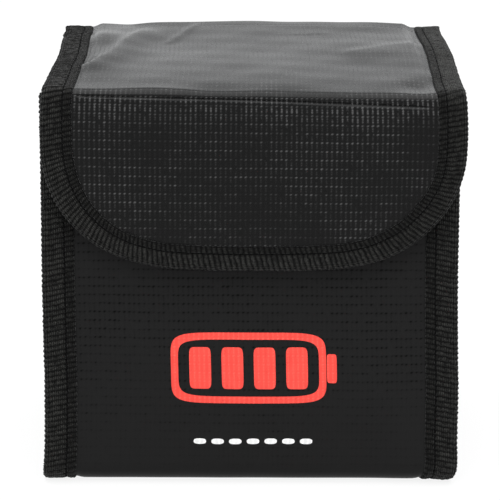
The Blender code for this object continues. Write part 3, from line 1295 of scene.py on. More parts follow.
@dataclass(frozen=True)
class TapeSection:
    """Binding tape across its width: an outer lap with a sewn groove, a rolled edge and an inner lap.

    The edge, roll, under and tail are rows of a distance and a share of the height there. They count in
    from the outer lap's edge, in from the fold above the cloth and below it, and back from the inner lap's
    edge.
    """

    lap: float
    inner_lap: float
    depth: float
    proud: float = 0.9 * MM
    wall: float = 0.5 * MM
    groove: float = 6.9 * MM
    sink: float = 0.5 * MM
    shoulder: float = 0.55 * MM
    shoulder_in: float = 0.75
    shoulder_out: float = 0.8
    lap_rise: float = 0.88
    crown: float = 0.6
    edge: Stops = ((0.0, 0.05), (0.3 * MM, 0.6), (0.7 * MM, 0.82))
    roll: Stops = ((1.6 * MM, 1.0), (0.5 * MM, 0.7), (0.05 * MM, 0.0))
    under: Stops = ((0.0, 0.5), (0.1 * MM, 0.85), (0.7 * MM, 1.0))
    tail: Stops = ((0.4 * MM, 1.0), (0.05 * MM, 0.9), (0.0, 0.72))
    groove_knot: int = 5
    columns: int = 51
    rib: float = 1.6 * MM
    rib_height: float = 0.4 * MM
    rib_samples: int = 4
    rib_middle: float = 0.6
    rib_slant: float = 0.2
    rib_pressed: float = 0.4
    rib_mean: float = 0.75
    rib_waves: tuple[float, float, float] = (310.0, 173.0, 1.3)
    fuzz: float = 0.06 * MM
    seed: int = 7
    least: float = 1e-9

    def outline(self) -> tuple[Array, Array, Array]:
        """The tape's face from the outer lap's edge round to the inner lap's edge.

        Returns:
            Distances in from the folded edge, lifts above the cloth's face, and distances out from the groove
            across the flat tape.
        """
        top, low = self.proud, -self.depth
        lap, inner, sewn = self.lap, self.inner_lap, self.groove
        knots = np.array(
            [
                *((lap - into, share * top) for into, share in self.edge),
                (0.5 * (lap + sewn), self.lap_rise * top),
                (sewn + self.shoulder, self.shoulder_in * top),
                (sewn, top - self.sink),
                (sewn - self.shoulder, self.shoulder_out * top),
                (self.crown * sewn, top),
                *((into, share * top) for into, share in self.roll),
                *((into, share * low) for into, share in self.under),
                (0.5 * inner, low),
                *((inner - back, share * low) for back, share in self.tail),
            ]
        )
        length = lengths_along(knots)
        order = np.arange(len(knots))
        even = np.linspace(0.0, order[-1], self.columns + 1)
        flat = np.interp(even, order, length) - length[self.groove_knot]
        return np.interp(even, order, knots[:, 0]), np.interp(even, order, knots[:, 1]), flat

    def ribbed(self, share: Array, along: Array) -> tuple[Array, Array, Array]:
        """The tape's face with its cross ribs.

        Args:
            share: Places across the tape, from 0 to 1.
            along: Length along the tape.

        Returns:
            Distances in from the fold, lifts above the cloth's face, and distances out from the groove.
        """
        inset, lift, flat = self.outline()
        turn_in, turn_lift = np.gradient(inset), np.gradient(lift)
        size = np.maximum(np.hypot(turn_in, turn_lift), self.least)
        even = np.linspace(0.0, 1.0, len(inset))
        out_in = np.interp(share, even, turn_lift / size)
        out_lift = np.interp(share, even, -turn_in / size)
        inset, lift, flat = (np.interp(share, even, part) for part in (inset, lift, flat))
        first, second, phase = self.rib_waves
        waves = (1.0 - self.rib_mean) * np.sin(along * first) * np.sin(along * second + phase)
        uneven = self.rib_mean + waves
        slant = along - self.rib_slant * flat
        ribs = self.rib_height * uneven * (np.abs(np.sin(math.pi * slant / self.rib)) - self.rib_middle)
        ribs = np.where(flat < 0.0, self.rib_pressed * ribs, ribs)
        ribs = ribs + self.fuzz * np.random.default_rng(self.seed).standard_normal(ribs.shape)
        return inset + out_in * ribs, lift + out_lift * ribs, flat

    def rows(self, length: float) -> int:
        """How many faces a length of tape takes, so that each rib keeps its shape."""
        return round(length / self.rib) * self.rib_samples

    @property
    def flat_width(self) -> float:
        """The tape's width before it is folded."""
        flat = self.outline()[2]
        return float(flat[-1] - flat[0])

    def mesh(self, name: str, track: Track, length: float, turned: bool) -> Mesh:
        """The tape swept along a track.

        Args:
            name: Name of the mesh.
            track: Gives points from lengths along, distances in and lifts.
            length: Length of the tape.
            turned: True where the track runs the other way round, so that the faces still point out.

        Returns:
            The tape's outer face, open along its edges.
        """

        def place(share: Array, step: Array) -> Pair:
            """Sets the grid on the ribbed section.

            Args:
                share: Shares across the tape.
                step: Shares along it.

            Returns:
                Points and flat places.
            """
            along = step * length
            inset, lift, flat = self.ribbed(1.0 - share if turned else share, along)
            return track(along, inset, lift), np.stack((along, flat), axis=-1)

        return grid_mesh(name, self.columns, self.rows(length), place)


@dataclass(frozen=True)
class StitchRow:
    """A row of sewn stitches that lies in a groove."""

    pitch: float = 3.1 * MM
    reach: float = 1.2 * MM
    thick: float = 0.24 * MM
    rise: float = 0.12 * MM
    round_faces: int = 6
    long_faces: int = 4

    def mesh(self, name: str, track: Track, length: float, inset: float, lift: float) -> Mesh:
        """Small threads set along a track.

        Args:
            name: Name of the mesh.
            track: Gives points from lengths along, distances in and lifts.
            length: Length of the row.
            inset: The groove's distance in from the edge.
            lift: The groove's height.

        Returns:
            The stitches' mesh.
        """
        shape = bmesh.new()
        size = Matrix.Diagonal((self.reach, self.thick, self.thick, 1.0))
        segments = {"u_segments": self.round_faces, "v_segments": self.long_faces}
        for stitch in range(int(length / self.pitch)):
            where = Matrix.Translation(((stitch + 0.5) * self.pitch, inset, lift + self.rise))
            bmesh.ops.create_uvsphere(shape, **segments, radius=1.0, matrix=where @ size)
        mesh = mesh_of(shape, name)
        flat = points_of(mesh)
        set_out(mesh, track(*flat.T), flat[:, :2])
        with reworked(mesh) as shape:
            bmesh.ops.recalc_face_normals(shape, faces=shape.faces[:])
        mesh.shade_smooth()
        return mesh


@dataclass(frozen=True)
class PadSection:
    """A closed pad's faces, crowned in the middle and thin at its edges."""

    columns: int = 64
    rows: int = 40
    side_power: float = 0.8
    face_power: float = 0.25
    end_power: int = 16
    fill: float = 0.96

    def mesh(self, name: str, place: Track, thick: float) -> Mesh:
        """A pad bent to its place.

        Args:
            name: Name of the mesh.
            place: Gives points from the shares across and along and the depth.
            thick: Thickness at the crown.

        Returns:
            The pad's mesh.
        """

        def wrap(share: Array, step: Array) -> Pair:
            """Wraps the grid round the pad.

            Args:
                share: Shares round the pad.
                step: Shares along it.

            Returns:
                Points and flat places.
            """
            turn = 2 * math.pi * share
            side, face = np.cos(turn), np.sin(turn)
            across = 0.5 + 0.5 * np.sign(side) * np.abs(side) ** self.side_power
            edge = np.sqrt(np.clip(1.0 - np.abs(2 * step - 1.0) ** self.end_power, 0.0, 1.0))
            rise = np.sign(face) * np.abs(face) ** self.face_power * edge
            depth = 0.5 * thick * (1.0 - self.fill * rise)
            return place(across, step, depth), np.stack((share, step), axis=-1)

        return grid_mesh(name, self.columns, self.rows, wrap, weld=TOUCHING)


@dataclass(frozen=True)
class EdgeShape:
    """The lid and flap's edge: its two corners, the bow of its foot, and how finely it is drawn."""

    corner: float = 38 * MM
    bow: float = 1.3 * MM
    bow_reach: float = 32 * MM
    bow_rise: float = 1.2
    start: float = 0.1
    side_points: int = 400
    turn_points: int = 240
    foot_points: int = 120
    samples: int = 4000
    ease: int = 61
    turn_ease: int = 41


class Outline:
    """The edge of the lid and flap on the flat strip, from the back left corner round to the back right."""

    def __init__(self, path: StripPath, half: float, shape: EdgeShape) -> None:
        """Draws the edge and measures it.

        Args:
            path: The strip's path.
            half: Half the lid's width.
            shape: The edge's sizes.
        """
        corner = shape.corner
        start = path.marks[Mark.LID_BACK] - path.shape.back_fold * shape.start
        foot = path.marks[Mark.FLAP_FOOT]
        angle = np.radians(np.linspace(180.0, 90.0, shape.turn_points))
        down = np.linspace(start, foot - corner, shape.side_points)
        inward = np.linspace(corner - half, 0.0, shape.foot_points)
        side = np.stack((np.full(shape.side_points, -half), down), axis=-1)
        turn_x = corner - half + corner * np.cos(angle)
        turn_run = foot - corner + corner * np.sin(angle)
        turn = np.stack((turn_x, turn_run), axis=-1)
        straight = np.stack((inward, np.full(shape.foot_points, foot)), axis=-1)
        left = np.vstack((side, turn[1:], straight[1:]))
        low = np.clip(1.0 - (foot - left[:, 1]) / (shape.bow_rise * corner), 0.0, 1.0)
        left[:, 1] -= shape.bow * low * np.minimum(np.abs(left[:, 0]) / shape.bow_reach, 1.0) ** 2
        self.left = left
        points = np.vstack((left, left[-2::-1] * (-1.0, 1.0)))
        length = lengths_along(points)
        self.length = float(length[-1])
        self.along = np.linspace(0.0, self.length, shape.samples)
        self.across = soften(np.interp(self.along, length, points[:, 0]), shape.ease)
        self.run = soften(np.interp(self.along, length, points[:, 1]), shape.ease)
        step_x, step_run = np.gradient(self.across), np.gradient(self.run)
        size = np.hypot(step_x, step_run)
        self.in_x = soften(step_run / size, shape.turn_ease)
        self.in_run = soften(-step_x / size, shape.turn_ease)

    def inward(self, along: Array, inset: Array) -> Pair:
        """Places on the flat strip at a distance in from the edge.

        Args:
            along: Length along the edge.
            inset: Distance in from it.

        Returns:
            Places across the strip and along it.
        """
        across = np.interp(along, self.along, self.across) + inset * np.interp(along, self.along, self.in_x)
        run = np.interp(along, self.along, self.run) + inset * np.interp(along, self.along, self.in_run)
        return across, run

    def footward(self, along: Array) -> Array:
        """How far the edge faces the flap's foot, from 0 on the sides to 1 at the foot."""
        return np.interp(along, self.along, self.in_run) ** 2

    def half_width(self, run: Array, inset: float) -> Array:
        """Half the cloth's width at each run, at a distance inside the edge."""
        return np.interp(run + inset, self.left[:, 1], -self.left[:, 0]) - inset


def rows_through(stops: Stops) -> tuple[int, Width]:
    """Spaces rows along the strip, closer where the cloth turns.

    Args:
        stops: (run, spacing) at the start of each stretch; the last one ends the cloth.

    Returns:
        How many rows there are, and the run at each share of them.
    """
    counts = []
    for (start, spacing), (end, _) in zip(stops, stops[1:]):
        counts.append(max(1, round((end - start) / spacing)))
    edges = np.concatenate(([0.0], np.cumsum(counts))) / sum(counts)
    runs = [run for run, _ in stops]
    return sum(counts), lambda share: np.interp(share, edges, runs)


def level(width: float) -> Width:
    """A width that is the same all along the strip."""
    return lambda run: np.full(np.shape(run), width)


@dataclass
class Workroom:
    """What every sub-assembly is cut and placed with."""

    layers: Layers
    bag: BagFrame
    path: StripPath
    surface: BagSurface
    outline: Outline
    pad: PadSection = PadSection()
    foot_play: float = 2.4 * MM

    @classmethod
    def open(cls) -> "Workroom":
        """Reads the frame and sets the strip out on it.

        Returns:
            The workroom.
        """
        layers = Layers()
        bag = BagFrame.read(layers)
        path = StripPath(bag, StripShape())
        return cls(layers, bag, path, BagSurface(path, Relief()), Outline(path, bag.half_lid, EdgeShape()))

    @property
    def lid_end(self) -> float:
        """The run where the lid and flap's cloth ends, inside the tape round the foot."""
        return self.path.marks[Mark.FLAP_FOOT] - self.foot_play

    def lid_half(self, run: Array) -> Array:
        """Half the width of the lid and flap's cloth, a tape's play inside the edge."""
        return self.outline.half_width(run, self.layers.tape_out)

    def lid_cut(self, start: float) -> tuple[tuple[float, float], float]:
        """The cut of a cloth for the lid and flap.

        Args:
            start: The run where it starts.

        Returns:
            Its flat size and its area.
        """
        length = self.lid_end - start
        runs = np.linspace(start, self.lid_end, CUT_POINTS)
        return (2 * self.bag.half_lid, length), float(np.mean(2 * self.lid_half(runs))) * length

    def strip_mesh(self, name: str, half: Width, stops: Stops, columns: int, depth: float) -> Mesh:
        """A stretch of cloth on the strip.

        Args:
            name: Name of the mesh.
            half: Half the cloth's width at each run.
            stops: Runs and row spacings.
            columns: Faces across.
            depth: Depth of the cloth's face below the strip's.

        Returns:
            The cloth's outer face.
        """
        rows, spaced = rows_through(stops)

        def place(share: Array, step: Array) -> Pair:
            """Sets the grid on the strip.

            Args:
                share: Shares across the cloth.
                step: Shares along it.

            Returns:
                Points and flat places.
            """
            run = spaced(step)
            across = (1.0 - 2.0 * share) * half(run)
            return self.surface.point(across, run, -depth), np.stack((across, run), axis=-1)

        return grid_mesh(name, columns, rows, place)

    def hang(
        self,
        plan: Plan,
        mesh: Mesh,
        look: tuple[Finish, float],
        flat: tuple[float, float],
        held: Held,
        area: float | None = None,
    ) -> None:
        """Adds a sheet to the scene.

        Args:
            plan: The sheet's plan.
            mesh: Its outer face.
            look: Its finish and its thickness.
            flat: Its flat size; not used.
            held: How it is kept in shape; not used.
            area: Its flat area, where it isn't cut square; not used.
        """
        item = add_piece(plan, mesh, *look)

    def felt(self, node: str, place: Track) -> None:
        """A felt pad in the place of a solid.

        Args:
            node: The solid.
            place: Gives points from the shares across and along and the depth.
        """
        name = f"{node}_felt"
        mesh = self.pad.mesh(name, place, self.layers.pad)
        pad = add_piece(Plan(name, Slot.FELT, Body.BAG, (node,)), mesh, FELT)


@dataclass
class OuterCloth:
    """The strip of grid cloth: front, base and back, then the lid and the flap."""

    room: Workroom
    columns: int = 130
    coarse: float = 0.9 * MM
    fine: float = 0.35 * MM
    crease_share: float = 0.4
    fold_play: float = 2.0 * MM
    top_play: float = 3.0 * MM
    crease_start: float = 1.0 * MM
    crease_end: float = 4.5 * MM
    lid_join: float = 5.0 * MM
    bend_play: float = 1.0 * MM
    crest: float = 4.0 * MM
    drop: float = 6.0 * MM
    crest_drop: float = 2.2 * MM

    def bends(self) -> tuple[Bend, Bend]:
        """Where the strip turns at the lid's back fold and at its front fold.

        Returns:
            The back bend and the front bend.
        """
        bag = self.room.bag
        ahead = bag.back - self.room.path.shape.back_fold - self.lid_join
        end = (0.0, ahead + self.bend_play, bag.top)
        back = Bend(Body.BAG, Body.LID, (0.0, bag.back, bag.top - self.lid_join), end)
        start = (0.0, bag.flap + self.crest, bag.top)
        return back, Bend(Body.LID, Body.FLAP, start, (0.0, bag.flap, bag.top - self.drop))

    def build(self) -> None:
        """Cuts the strip into its three stretches and hangs them."""
        room = self.room
        marks, layers, play = room.path.marks, room.layers, self.fold_play
        edge = room.bag.half_body - layers.tape_out
        back_bend, front_bend = self.bends()
        base_middle = 0.5 * (marks[Mark.BASE_FRONT] + marks[Mark.BASE_BACK])
        join = marks[Mark.LID_BACK] + self.lid_join
        stops = (
            (layers.tape_out, self.coarse),
            (marks[Mark.FRONT_FOOT] - play, self.fine * 2),
            (marks[Mark.BASE_FRONT] + play, self.coarse * 2),
            (base_middle, self.coarse),
        )
        mesh = room.strip_mesh("front_cloth", level(edge), stops, self.columns, 0.0)
        plan = Plan("front_cloth", Slot.CLOTH, Body.BAG, ("outer_wrap",))
        room.hang(plan, mesh, (PRESSED_SHADED_CLOTH, layers.cloth), (2 * edge, base_middle), Held.STRETCHED)
        stops = (
            (base_middle, self.coarse * 2),
            (marks[Mark.BASE_BACK] - play, self.fine * 2),
            (marks[Mark.BACK_FOOT] + play, self.coarse),
            (marks[Mark.BACK_TOP] - self.top_play, self.fine),
            (join, self.fine),
        )
        mesh = room.strip_mesh("back_cloth", level(edge), stops, self.columns, 0.0)
        plan = Plan("back_cloth", Slot.CLOTH, back_bend, ("outer_wrap",))
        room.hang(plan, mesh, (CLOTH, layers.cloth), (2 * edge, join - base_middle), Held.FOLDED)
        stops = (
            (join, self.coarse),
            (marks[Mark.LID_FRONT] - self.crease_start, self.fine * self.crease_share),
            (marks[Mark.FLAP_TOP] + self.crease_end, self.coarse),
            (room.lid_end, self.coarse),
        )
        mesh = room.strip_mesh("lid_flap_cloth", room.lid_half, stops, self.columns, 0.0)
        plan = Plan("lid_flap_cloth", Slot.CLOTH, front_bend, ("lid_panel", "flap_panel"))
        # The lid and flap's cloth has a band of painted highlight on the strokes just under the front fold.
        crest = marks[Mark.FLAP_TOP] + self.crest_drop
        folded = replace(CLOTH, name="folded_grid_cloth", crest=crest)
        flat, area = room.lid_cut(join)
        room.hang(plan, mesh, (folded, layers.cloth), flat, Held.FOLDED, area)


@dataclass
class SideWall:
    """One side of the box: its cloth, its felt and its lining, dished a little between the seams."""

    room: Workroom
    side: Side
    columns: int = 60
    rows: int = 90
    crowding: float = 1.5
    length: float = 80.0 * MM
    dish: float = 1.3 * MM
    dish_power: float = 0.7
    dish_edge: float = 0.02
    middle: float = 60.0 * MM
    ripple: Ripple = Ripple(0.5 * MM, 34 * MM, 0.9)

    def along(self, share: Array) -> Array:
        """A grid's share across, as a share from the front seam to the back seam."""
        return 1.0 - share if self.side is Side.LEFT else share

    def point(self, share: Array, height: Array, depth: float, seam: float) -> Array:
        """Places on the side, at a depth below its outer face.

        Args:
            share: Places from the front seam to the back seam, from 0 to 1.
            height: Heights up the side.
            depth: Distance in from the outer face.
            seam: Distance of the seams inside the strip's face.

        Returns:
            Rows of (x, y, z).
        """
        path, bag = self.room.path, self.room.bag
        front_run, back_run = path.run_on_front(height), path.run_on_back(height)
        front_y = path.read(path.y, front_run) - seam * path.read(path.normal_y, front_run)
        back_y = path.read(path.y, back_run) - seam * path.read(path.normal_y, back_run)
        width = path.read(path.width, front_run) * (1 - share) + path.read(path.width, back_run) * share
        sway = path.read(path.sway, front_run) * (1 - share) + path.read(path.sway, back_run) * share
        rise = np.clip((height - bag.base) / (bag.rim - bag.base), self.dish_edge, 1.0 - self.dish_edge)
        inner = np.sin(math.pi * share) ** self.dish_power * np.sin(math.pi * rise) ** self.dish_power
        sunk = self.dish * inner - self.ripple.lift(share * self.length, height) * inner
        x = self.side.value * (bag.side_face * width - sunk - depth) + sway
        return np.stack((x, front_y * (1 - share) + back_y * share, height), axis=-1)

    def mesh(self, name: str, depth: float, seam: float, low: float, high: float) -> Mesh:
        """A sheet of one of the side's layers.

        Args:
            name: Name of the mesh.
            depth: Depth of the layer below the side's face.
            seam: Distance of its edges inside the strip's face.
            low: Its lowest height.
            high: Its highest height.

        Returns:
            The layer's outer face.
        """

        def place(share: Array, step: Array) -> Pair:
            """Sets the grid on the side, closer together near the base.

            Args:
                share: Shares across the side.
                step: Shares up it.

            Returns:
                Points and flat places.
            """
            height = low + (high - low) * step**self.crowding
            along = self.along(share)
            return self.point(along, height, depth, seam), np.stack((along * self.length, height), axis=-1)

        return grid_mesh(name, self.columns, self.rows, place)

    def build(self) -> None:
        """Makes the cloth with its turned flange, the felt and the lining."""
        room, label = self.room, self.side.label
        layers, bag = room.layers, room.bag
        seam = layers.cloth + layers.gap
        top = bag.rim - layers.tape_out
        mesh = self.mesh(f"{label}_side_cloth", 0.0, seam, bag.base + seam, top)
        self.turn_flange(mesh, bag.half_body - layers.tape_out - bag.side_face, top)
        depth, height = bag.back - bag.front, top - bag.base
        flange = 2 * (bag.half_body - bag.side_face)
        plan = Plan(mesh.name, Slot.CLOTH, Body.BAG, (f"{label}_side_panel",))
        flat = (depth + flange, height + flange / 2)
        room.hang(plan, mesh, (CLOTH, layers.cloth), flat, Held.STRETCHED)
        low, start = bag.base + layers.wall, layers.lining_start
        mesh = self.mesh(f"{label}_side_lining_sheet", start, start, low, top)
        plan = Plan(mesh.name, Slot.LINING, Body.BAG, (f"{label}_side_lining",))
        room.hang(plan, mesh, (LINING, layers.lining), (depth - 2 * start, top - low), Held.STRETCHED)
        foot, inset = bag.base + layers.seam + layers.gap, layers.seam + layers.gap

        def felt(share: Array, step: Array, deep: Array) -> Array:
            """Places in the felt."""
            height = foot + (top - layers.felt_drop - foot) * step
            return self.point(self.along(share), height, layers.pad_start + deep, inset)

        room.felt(f"{label}_pad", felt)

    def turn_flange(self, mesh: Mesh, reach: float, top: float) -> None:
        """Turns the cloth's seam edges outwards along the strip.

        Args:
            mesh: The side's cloth, changed in place.
            reach: Width of the flange.
            top: Height of the cloth's free edge.
        """

        def from_middle(face: bmesh.types.BMFace) -> float:
            """How far a face lies from the side's middle."""
            centre = face.calc_center_median()
            return abs(centre.y) + abs(centre.z - self.middle)

        with reworked(mesh) as shape:
            seam = []
            for edge in shape.edges:
                free = all(abs(vert.co.z - top) < TOUCHING for vert in edge.verts)
                if edge.is_boundary and not free:
                    seam.append(edge)
            flange = bmesh.ops.extrude_edge_only(shape, edges=seam)["geom"]
            moved = [item for item in flange if isinstance(item, bmesh.types.BMVert)]
            bmesh.ops.translate(shape, verts=moved, vec=(self.side.value * reach, 0.0, 0.0))
            bmesh.ops.recalc_face_normals(shape, faces=shape.faces[:])
            if min(shape.faces, key=from_middle).normal.x * self.side.value < 0:
                bmesh.ops.reverse_faces(shape, faces=shape.faces[:])
        mesh.shade_smooth()


@dataclass
class BoxLinings:
    """What lies inside the strip: the felt, the box's lining and the lining of the lid and flap."""

    room: Workroom
    outer: OuterCloth
    columns: int = 90
    side_share: float = 0.975
    coarse: float = 1.5 * MM
    fine: float = 0.7 * MM
    finest: float = 0.35 * MM
    fold_play: float = 2.0 * MM
    crease_start: float = 3.0 * MM
    crease_end: float = 4.0 * MM

    def felt(self, name: str, half: float, start: float, end: float) -> None:
        """A felt pad behind one face of the strip.

        Args:
            name: The node it stands for.
            half: Half its width.
            start: The run where it starts.
            end: The run where it ends.
        """
        surface, inner = self.room.surface, self.room.layers.pad_start

        def place(share: Array, step: Array, depth: Array) -> Array:
            """Places in the felt."""
            return surface.point((2 * share - 1) * half, start + (end - start) * step, -inner - depth)

        self.room.felt(name, place)

    def build(self) -> None:
        """Makes the felts and the linings."""
        room, play = self.room, self.fold_play
        marks, layers, bag = room.path.marks, room.layers, room.bag
        side = bag.side_face * self.side_share
        felt_edge = side - layers.pad_start - layers.pad - layers.gap
        back_end = float(room.path.run_on_back(bag.rim - layers.tape_out))
        self.felt("front_pad", felt_edge, layers.felt_drop, marks[Mark.FRONT_FOOT])
        self.felt("base_pad", felt_edge, marks[Mark.BASE_FRONT], marks[Mark.BASE_BACK])
        self.felt("back_pad", felt_edge, marks[Mark.BACK_FOOT], back_end - layers.felt_drop)
        edge = side - layers.wall - layers.gap
        stops = (
            (layers.tape_out, self.coarse),
            (marks[Mark.FRONT_FOOT] - play, self.fine),
            (marks[Mark.BASE_FRONT] + play, self.coarse),
            (marks[Mark.BASE_BACK] - play, self.fine),
            (marks[Mark.BACK_FOOT] + play, self.coarse),
            (back_end, self.coarse),
        )
        look = (LINING, layers.lining)
        mesh = room.strip_mesh("box_lining", level(edge), stops, self.columns, layers.lining_start)
        plan = Plan("box_lining", Slot.LINING, Body.BAG, ("inner_lining",))
        room.hang(plan, mesh, look, (2 * edge, back_end - layers.tape_out), Held.FOLDED)
        start = marks[Mark.LID_BACK]
        stops = (
            (start, self.coarse),
            (marks[Mark.LID_FRONT] - self.crease_start, self.finest),
            (marks[Mark.FLAP_TOP] + self.crease_end, self.coarse),
            (room.lid_end, self.coarse),
        )
        mesh = room.strip_mesh("lid_flap_lining", room.lid_half, stops, self.columns, layers.pad_start)
        plan = Plan("lid_flap_lining", Slot.LINING, self.outer.bends()[1], ("lid_lining", "flap_lining"))
        flat, area = room.lid_cut(start)
        room.hang(plan, mesh, look, flat, Held.FOLDED, area)


@dataclass
class BoundSeams:
    """The binding tapes and their stitches: two side seams, the lid and flap's edge, and the mouth.

    The lid and flap's tape is drawn in by shares of its lap, at shares of its length from the back left.
    """

    room: Workroom
    outer: OuterCloth
    stitch: StitchRow = StitchRow()
    lap: float = 10.0 * MM
    fin_lap: float = 6.2 * MM
    foot_lap: float = 7.8 * MM
    rim_lap: float = 9.0 * MM
    pressed_end: float = 5.0 * MM
    pressed_share: float = 0.3
    drawn_in: tuple[tuple[float, ...], tuple[float, ...]] = (
        (0.0, 0.24, 0.30, 0.62, 0.70, 1.0),
        (0.91, 0.93, 1.0, 1.0, 0.87, 0.84),
    )

    def sew(
        self,
        plan: Plan,
        section: TapeSection,
        track: Track,
        length: float,
        turned: bool,
        finish: Finish = TAPE,
    ) -> None:
        """One tape with its row of stitches.

        Args:
            plan: The tape's plan.
            section: Its section.
            track: Its track.
            length: Its length.
            turned: True where the track runs the other way round.
            finish: Its finish.
        """
        mesh = section.mesh(plan.name, track, length, turned)
        self.room.hang(plan, mesh, (finish, section.wall), (section.flat_width, length), Held.FOLDED)
        lift = section.proud - section.sink
        mesh = self.stitch.mesh(f"{plan.name}_stitches", track, length, section.groove, lift)
        add_piece(Plan(mesh.name, plan.slot, plan.carrier), mesh, THREAD)

    def side_seam(self, side: Side) -> None:
        """The tape down one side of the front, under the base and up the back.

        Args:
            side: The side.
        """
        room = self.room
        layers, bag = room.layers, room.bag
        section = TapeSection(self.lap, self.fin_lap, layers.seam + layers.tape_out)

        def track(along: Array, inset: Array, lift: Array) -> Array:
            """Places on the seam."""
            return room.surface.point(side.value * (bag.half_body - inset), along, lift)

        plan = Plan(f"{side.label}_binding", Slot.TAPE, Body.BAG, (f"{side.label}_seam_tape",))
        length = float(room.path.run_on_back(bag.rim))
        self.sew(plan, section, track, length, side is Side.RIGHT, SEAM_TAPE_SOFT_SHADOW)

    def lid_edge(self) -> None:
        """The tape down one side of the lid, round the flap and back up the other side."""
        room = self.room
        edge, least = room.outline, self.pressed_share
        section = TapeSection(self.lap, self.lap, room.layers.lid + room.layers.tape_out)

        def track(along: Array, inset: Array, lift: Array) -> Array:
            """Places on the edge, with a narrower lap round the foot and pressed ends.

            Args:
                along: Lengths along the tape.
                inset: Distances in from its fold.
                lift: Heights above the cloth.

            Returns:
                Rows of (x, y, z).
            """
            narrow = 1.0 + (self.foot_lap / self.lap - 1.0) * edge.footward(along)
            narrow = narrow * np.interp(along / edge.length, *self.drawn_in)
            across, run = edge.inward(along, inset * narrow)
            to_end = np.minimum(along, edge.length - along)
            pressed = np.clip(least + to_end / self.pressed_end, least, 1.0)
            return room.surface.point(across, run, np.where(lift > 0.0, lift * pressed, lift))

        stands_for = ("lid_left_tape", "lid_right_tape", "flap_tape")
        plan = Plan("lid_flap_binding", Slot.TAPE, self.outer.bends()[1], stands_for)
        self.sew(plan, section, track, edge.length, False)

    def rim_section(self) -> TapeSection:
        """The section of the tapes round the mouth."""
        layers = self.room.layers
        return TapeSection(self.rim_lap, self.rim_lap, layers.wall + layers.tape_out)

    def front_rim(self) -> None:
        """The tape over the front's free edge."""
        room = self.room
        reach = room.bag.half_body - self.lap - room.layers.gap

        def track(along: Array, inset: Array, lift: Array) -> Array:
            """Places on the edge."""
            return room.surface.point(along - reach, inset, lift)

        plan = Plan("front_rim_binding", Slot.TAPE, Body.BAG, ("front_rim_tape",))
        self.sew(plan, self.rim_section(), track, 2 * reach, True)

    def side_rim(self, wall: SideWall) -> None:
        """The tape over the free edge of one side.

        Args:
            wall: The side's wall.
        """
        layers, bag = self.room.layers, self.room.bag
        margin = layers.wall + layers.tape_out + layers.gap
        depth = bag.back - bag.front

        def track(along: Array, inset: Array, lift: Array) -> Array:
            """Places on the edge."""
            return wall.point((margin + along) / depth, bag.rim - inset, -lift, 0.0)

        label = wall.side.label
        plan = Plan(f"{label}_rim_binding", Slot.TAPE, Body.BAG, (f"{label}_rim_tape",))
        self.sew(plan, self.rim_section(), track, depth - 2 * margin, wall.side is Side.RIGHT)

    def build(self, walls: list[SideWall]) -> None:
        """Binds every edge.

        Args:
            walls: The two sides.
        """
        for wall in walls:
            self.side_seam(wall.side)
            self.side_rim(wall)
        self.front_rim()
        self.lid_edge()


@dataclass
class Closure:
    """The hook strip behind the flap and the loop strip on the front, each sewn along two borders."""

    border: float = 1.6 * MM
    thread_sink: float = 0.05 * MM
    pad: PadSection = PadSection(columns=80, rows=120)
    stitch: StitchRow = StitchRow(pitch=2.2 * MM, reach=0.85 * MM, thick=0.2 * MM, rise=0.05 * MM)

    def strip(self, plan: Plan, finish: Finish, facing: float) -> None:
        """One strip of pile with rounded edges and its two rows of stitches.

        Args:
            plan: Its plan.
            finish: Its finish.
            facing: The sign of y that its pile faces.
        """
        low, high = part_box(*plan.stands_for)
        face = high.y if facing > 0 else low.y

        def place(share: Array, step: Array, depth: Array) -> Array:
            """Places in the strip."""
            x, z = low.x + (high.x - low.x) * step, low.z + (high.z - low.z) * share
            return np.stack((x, face - facing * depth, z), axis=-1)

        mesh = self.pad.mesh(plan.name, place, high.y - low.y)
        item = add_piece(plan, mesh, finish)
        width = high.x - low.x - 2 * self.border
        for edge, z in (("low", low.z + self.border), ("high", high.z - self.border)):

            def track(along: Array, inset: Array, lift: Array, z: float = z) -> Array:
                """Places along one border."""
                return np.stack((low.x + self.border + along, face + facing * lift, z + inset), axis=-1)

            name = f"{plan.name}_{edge}_stitches"
            mesh = self.stitch.mesh(name, track, width, 0.0, -self.thread_sink)
            add_piece(Plan(name, plan.slot, plan.carrier), mesh, THREAD)

    def build(self) -> None:
        """Makes both strips."""
        self.strip(Plan("hook_pile", Slot.HOOK, Body.FLAP, ("hook_strip",)), HOOKS, 1.0)
        self.strip(Plan("loop_pile", Slot.LOOP, Body.BAG, ("loop_strip",)), LOOPS, -1.0)


@dataclass(frozen=True)
class InkPatch:
    """A rounded patch of ink on the front, by its middle, half sizes and corner radius."""

    across: float
    height: float
    half_width: float
    half_height: float
    radius: float
    round_power: float = 2.0
    square_power: float = 6.0

    def edge(self, share: Array, inset: Array | float) -> Pair:
        """Places round the patch at a distance in from its edge.

        Args:
            share: Places round it, from 0 to 1.
            inset: Distance in from the edge.

        Returns:
            Places across the front and heights.
        """
        turn = 2 * math.pi * share
        square = self.square_power * (1.0 - self.radius / self.half_height)
        power = self.round_power / (self.round_power + square)
        cos, sin = np.cos(turn), np.sin(turn)
        x = np.sign(cos) * np.abs(cos) ** power * (self.half_width - inset)
        z = np.sign(sin) * np.abs(sin) ** power * (self.half_height - inset)
        return self.across + x, self.height + z


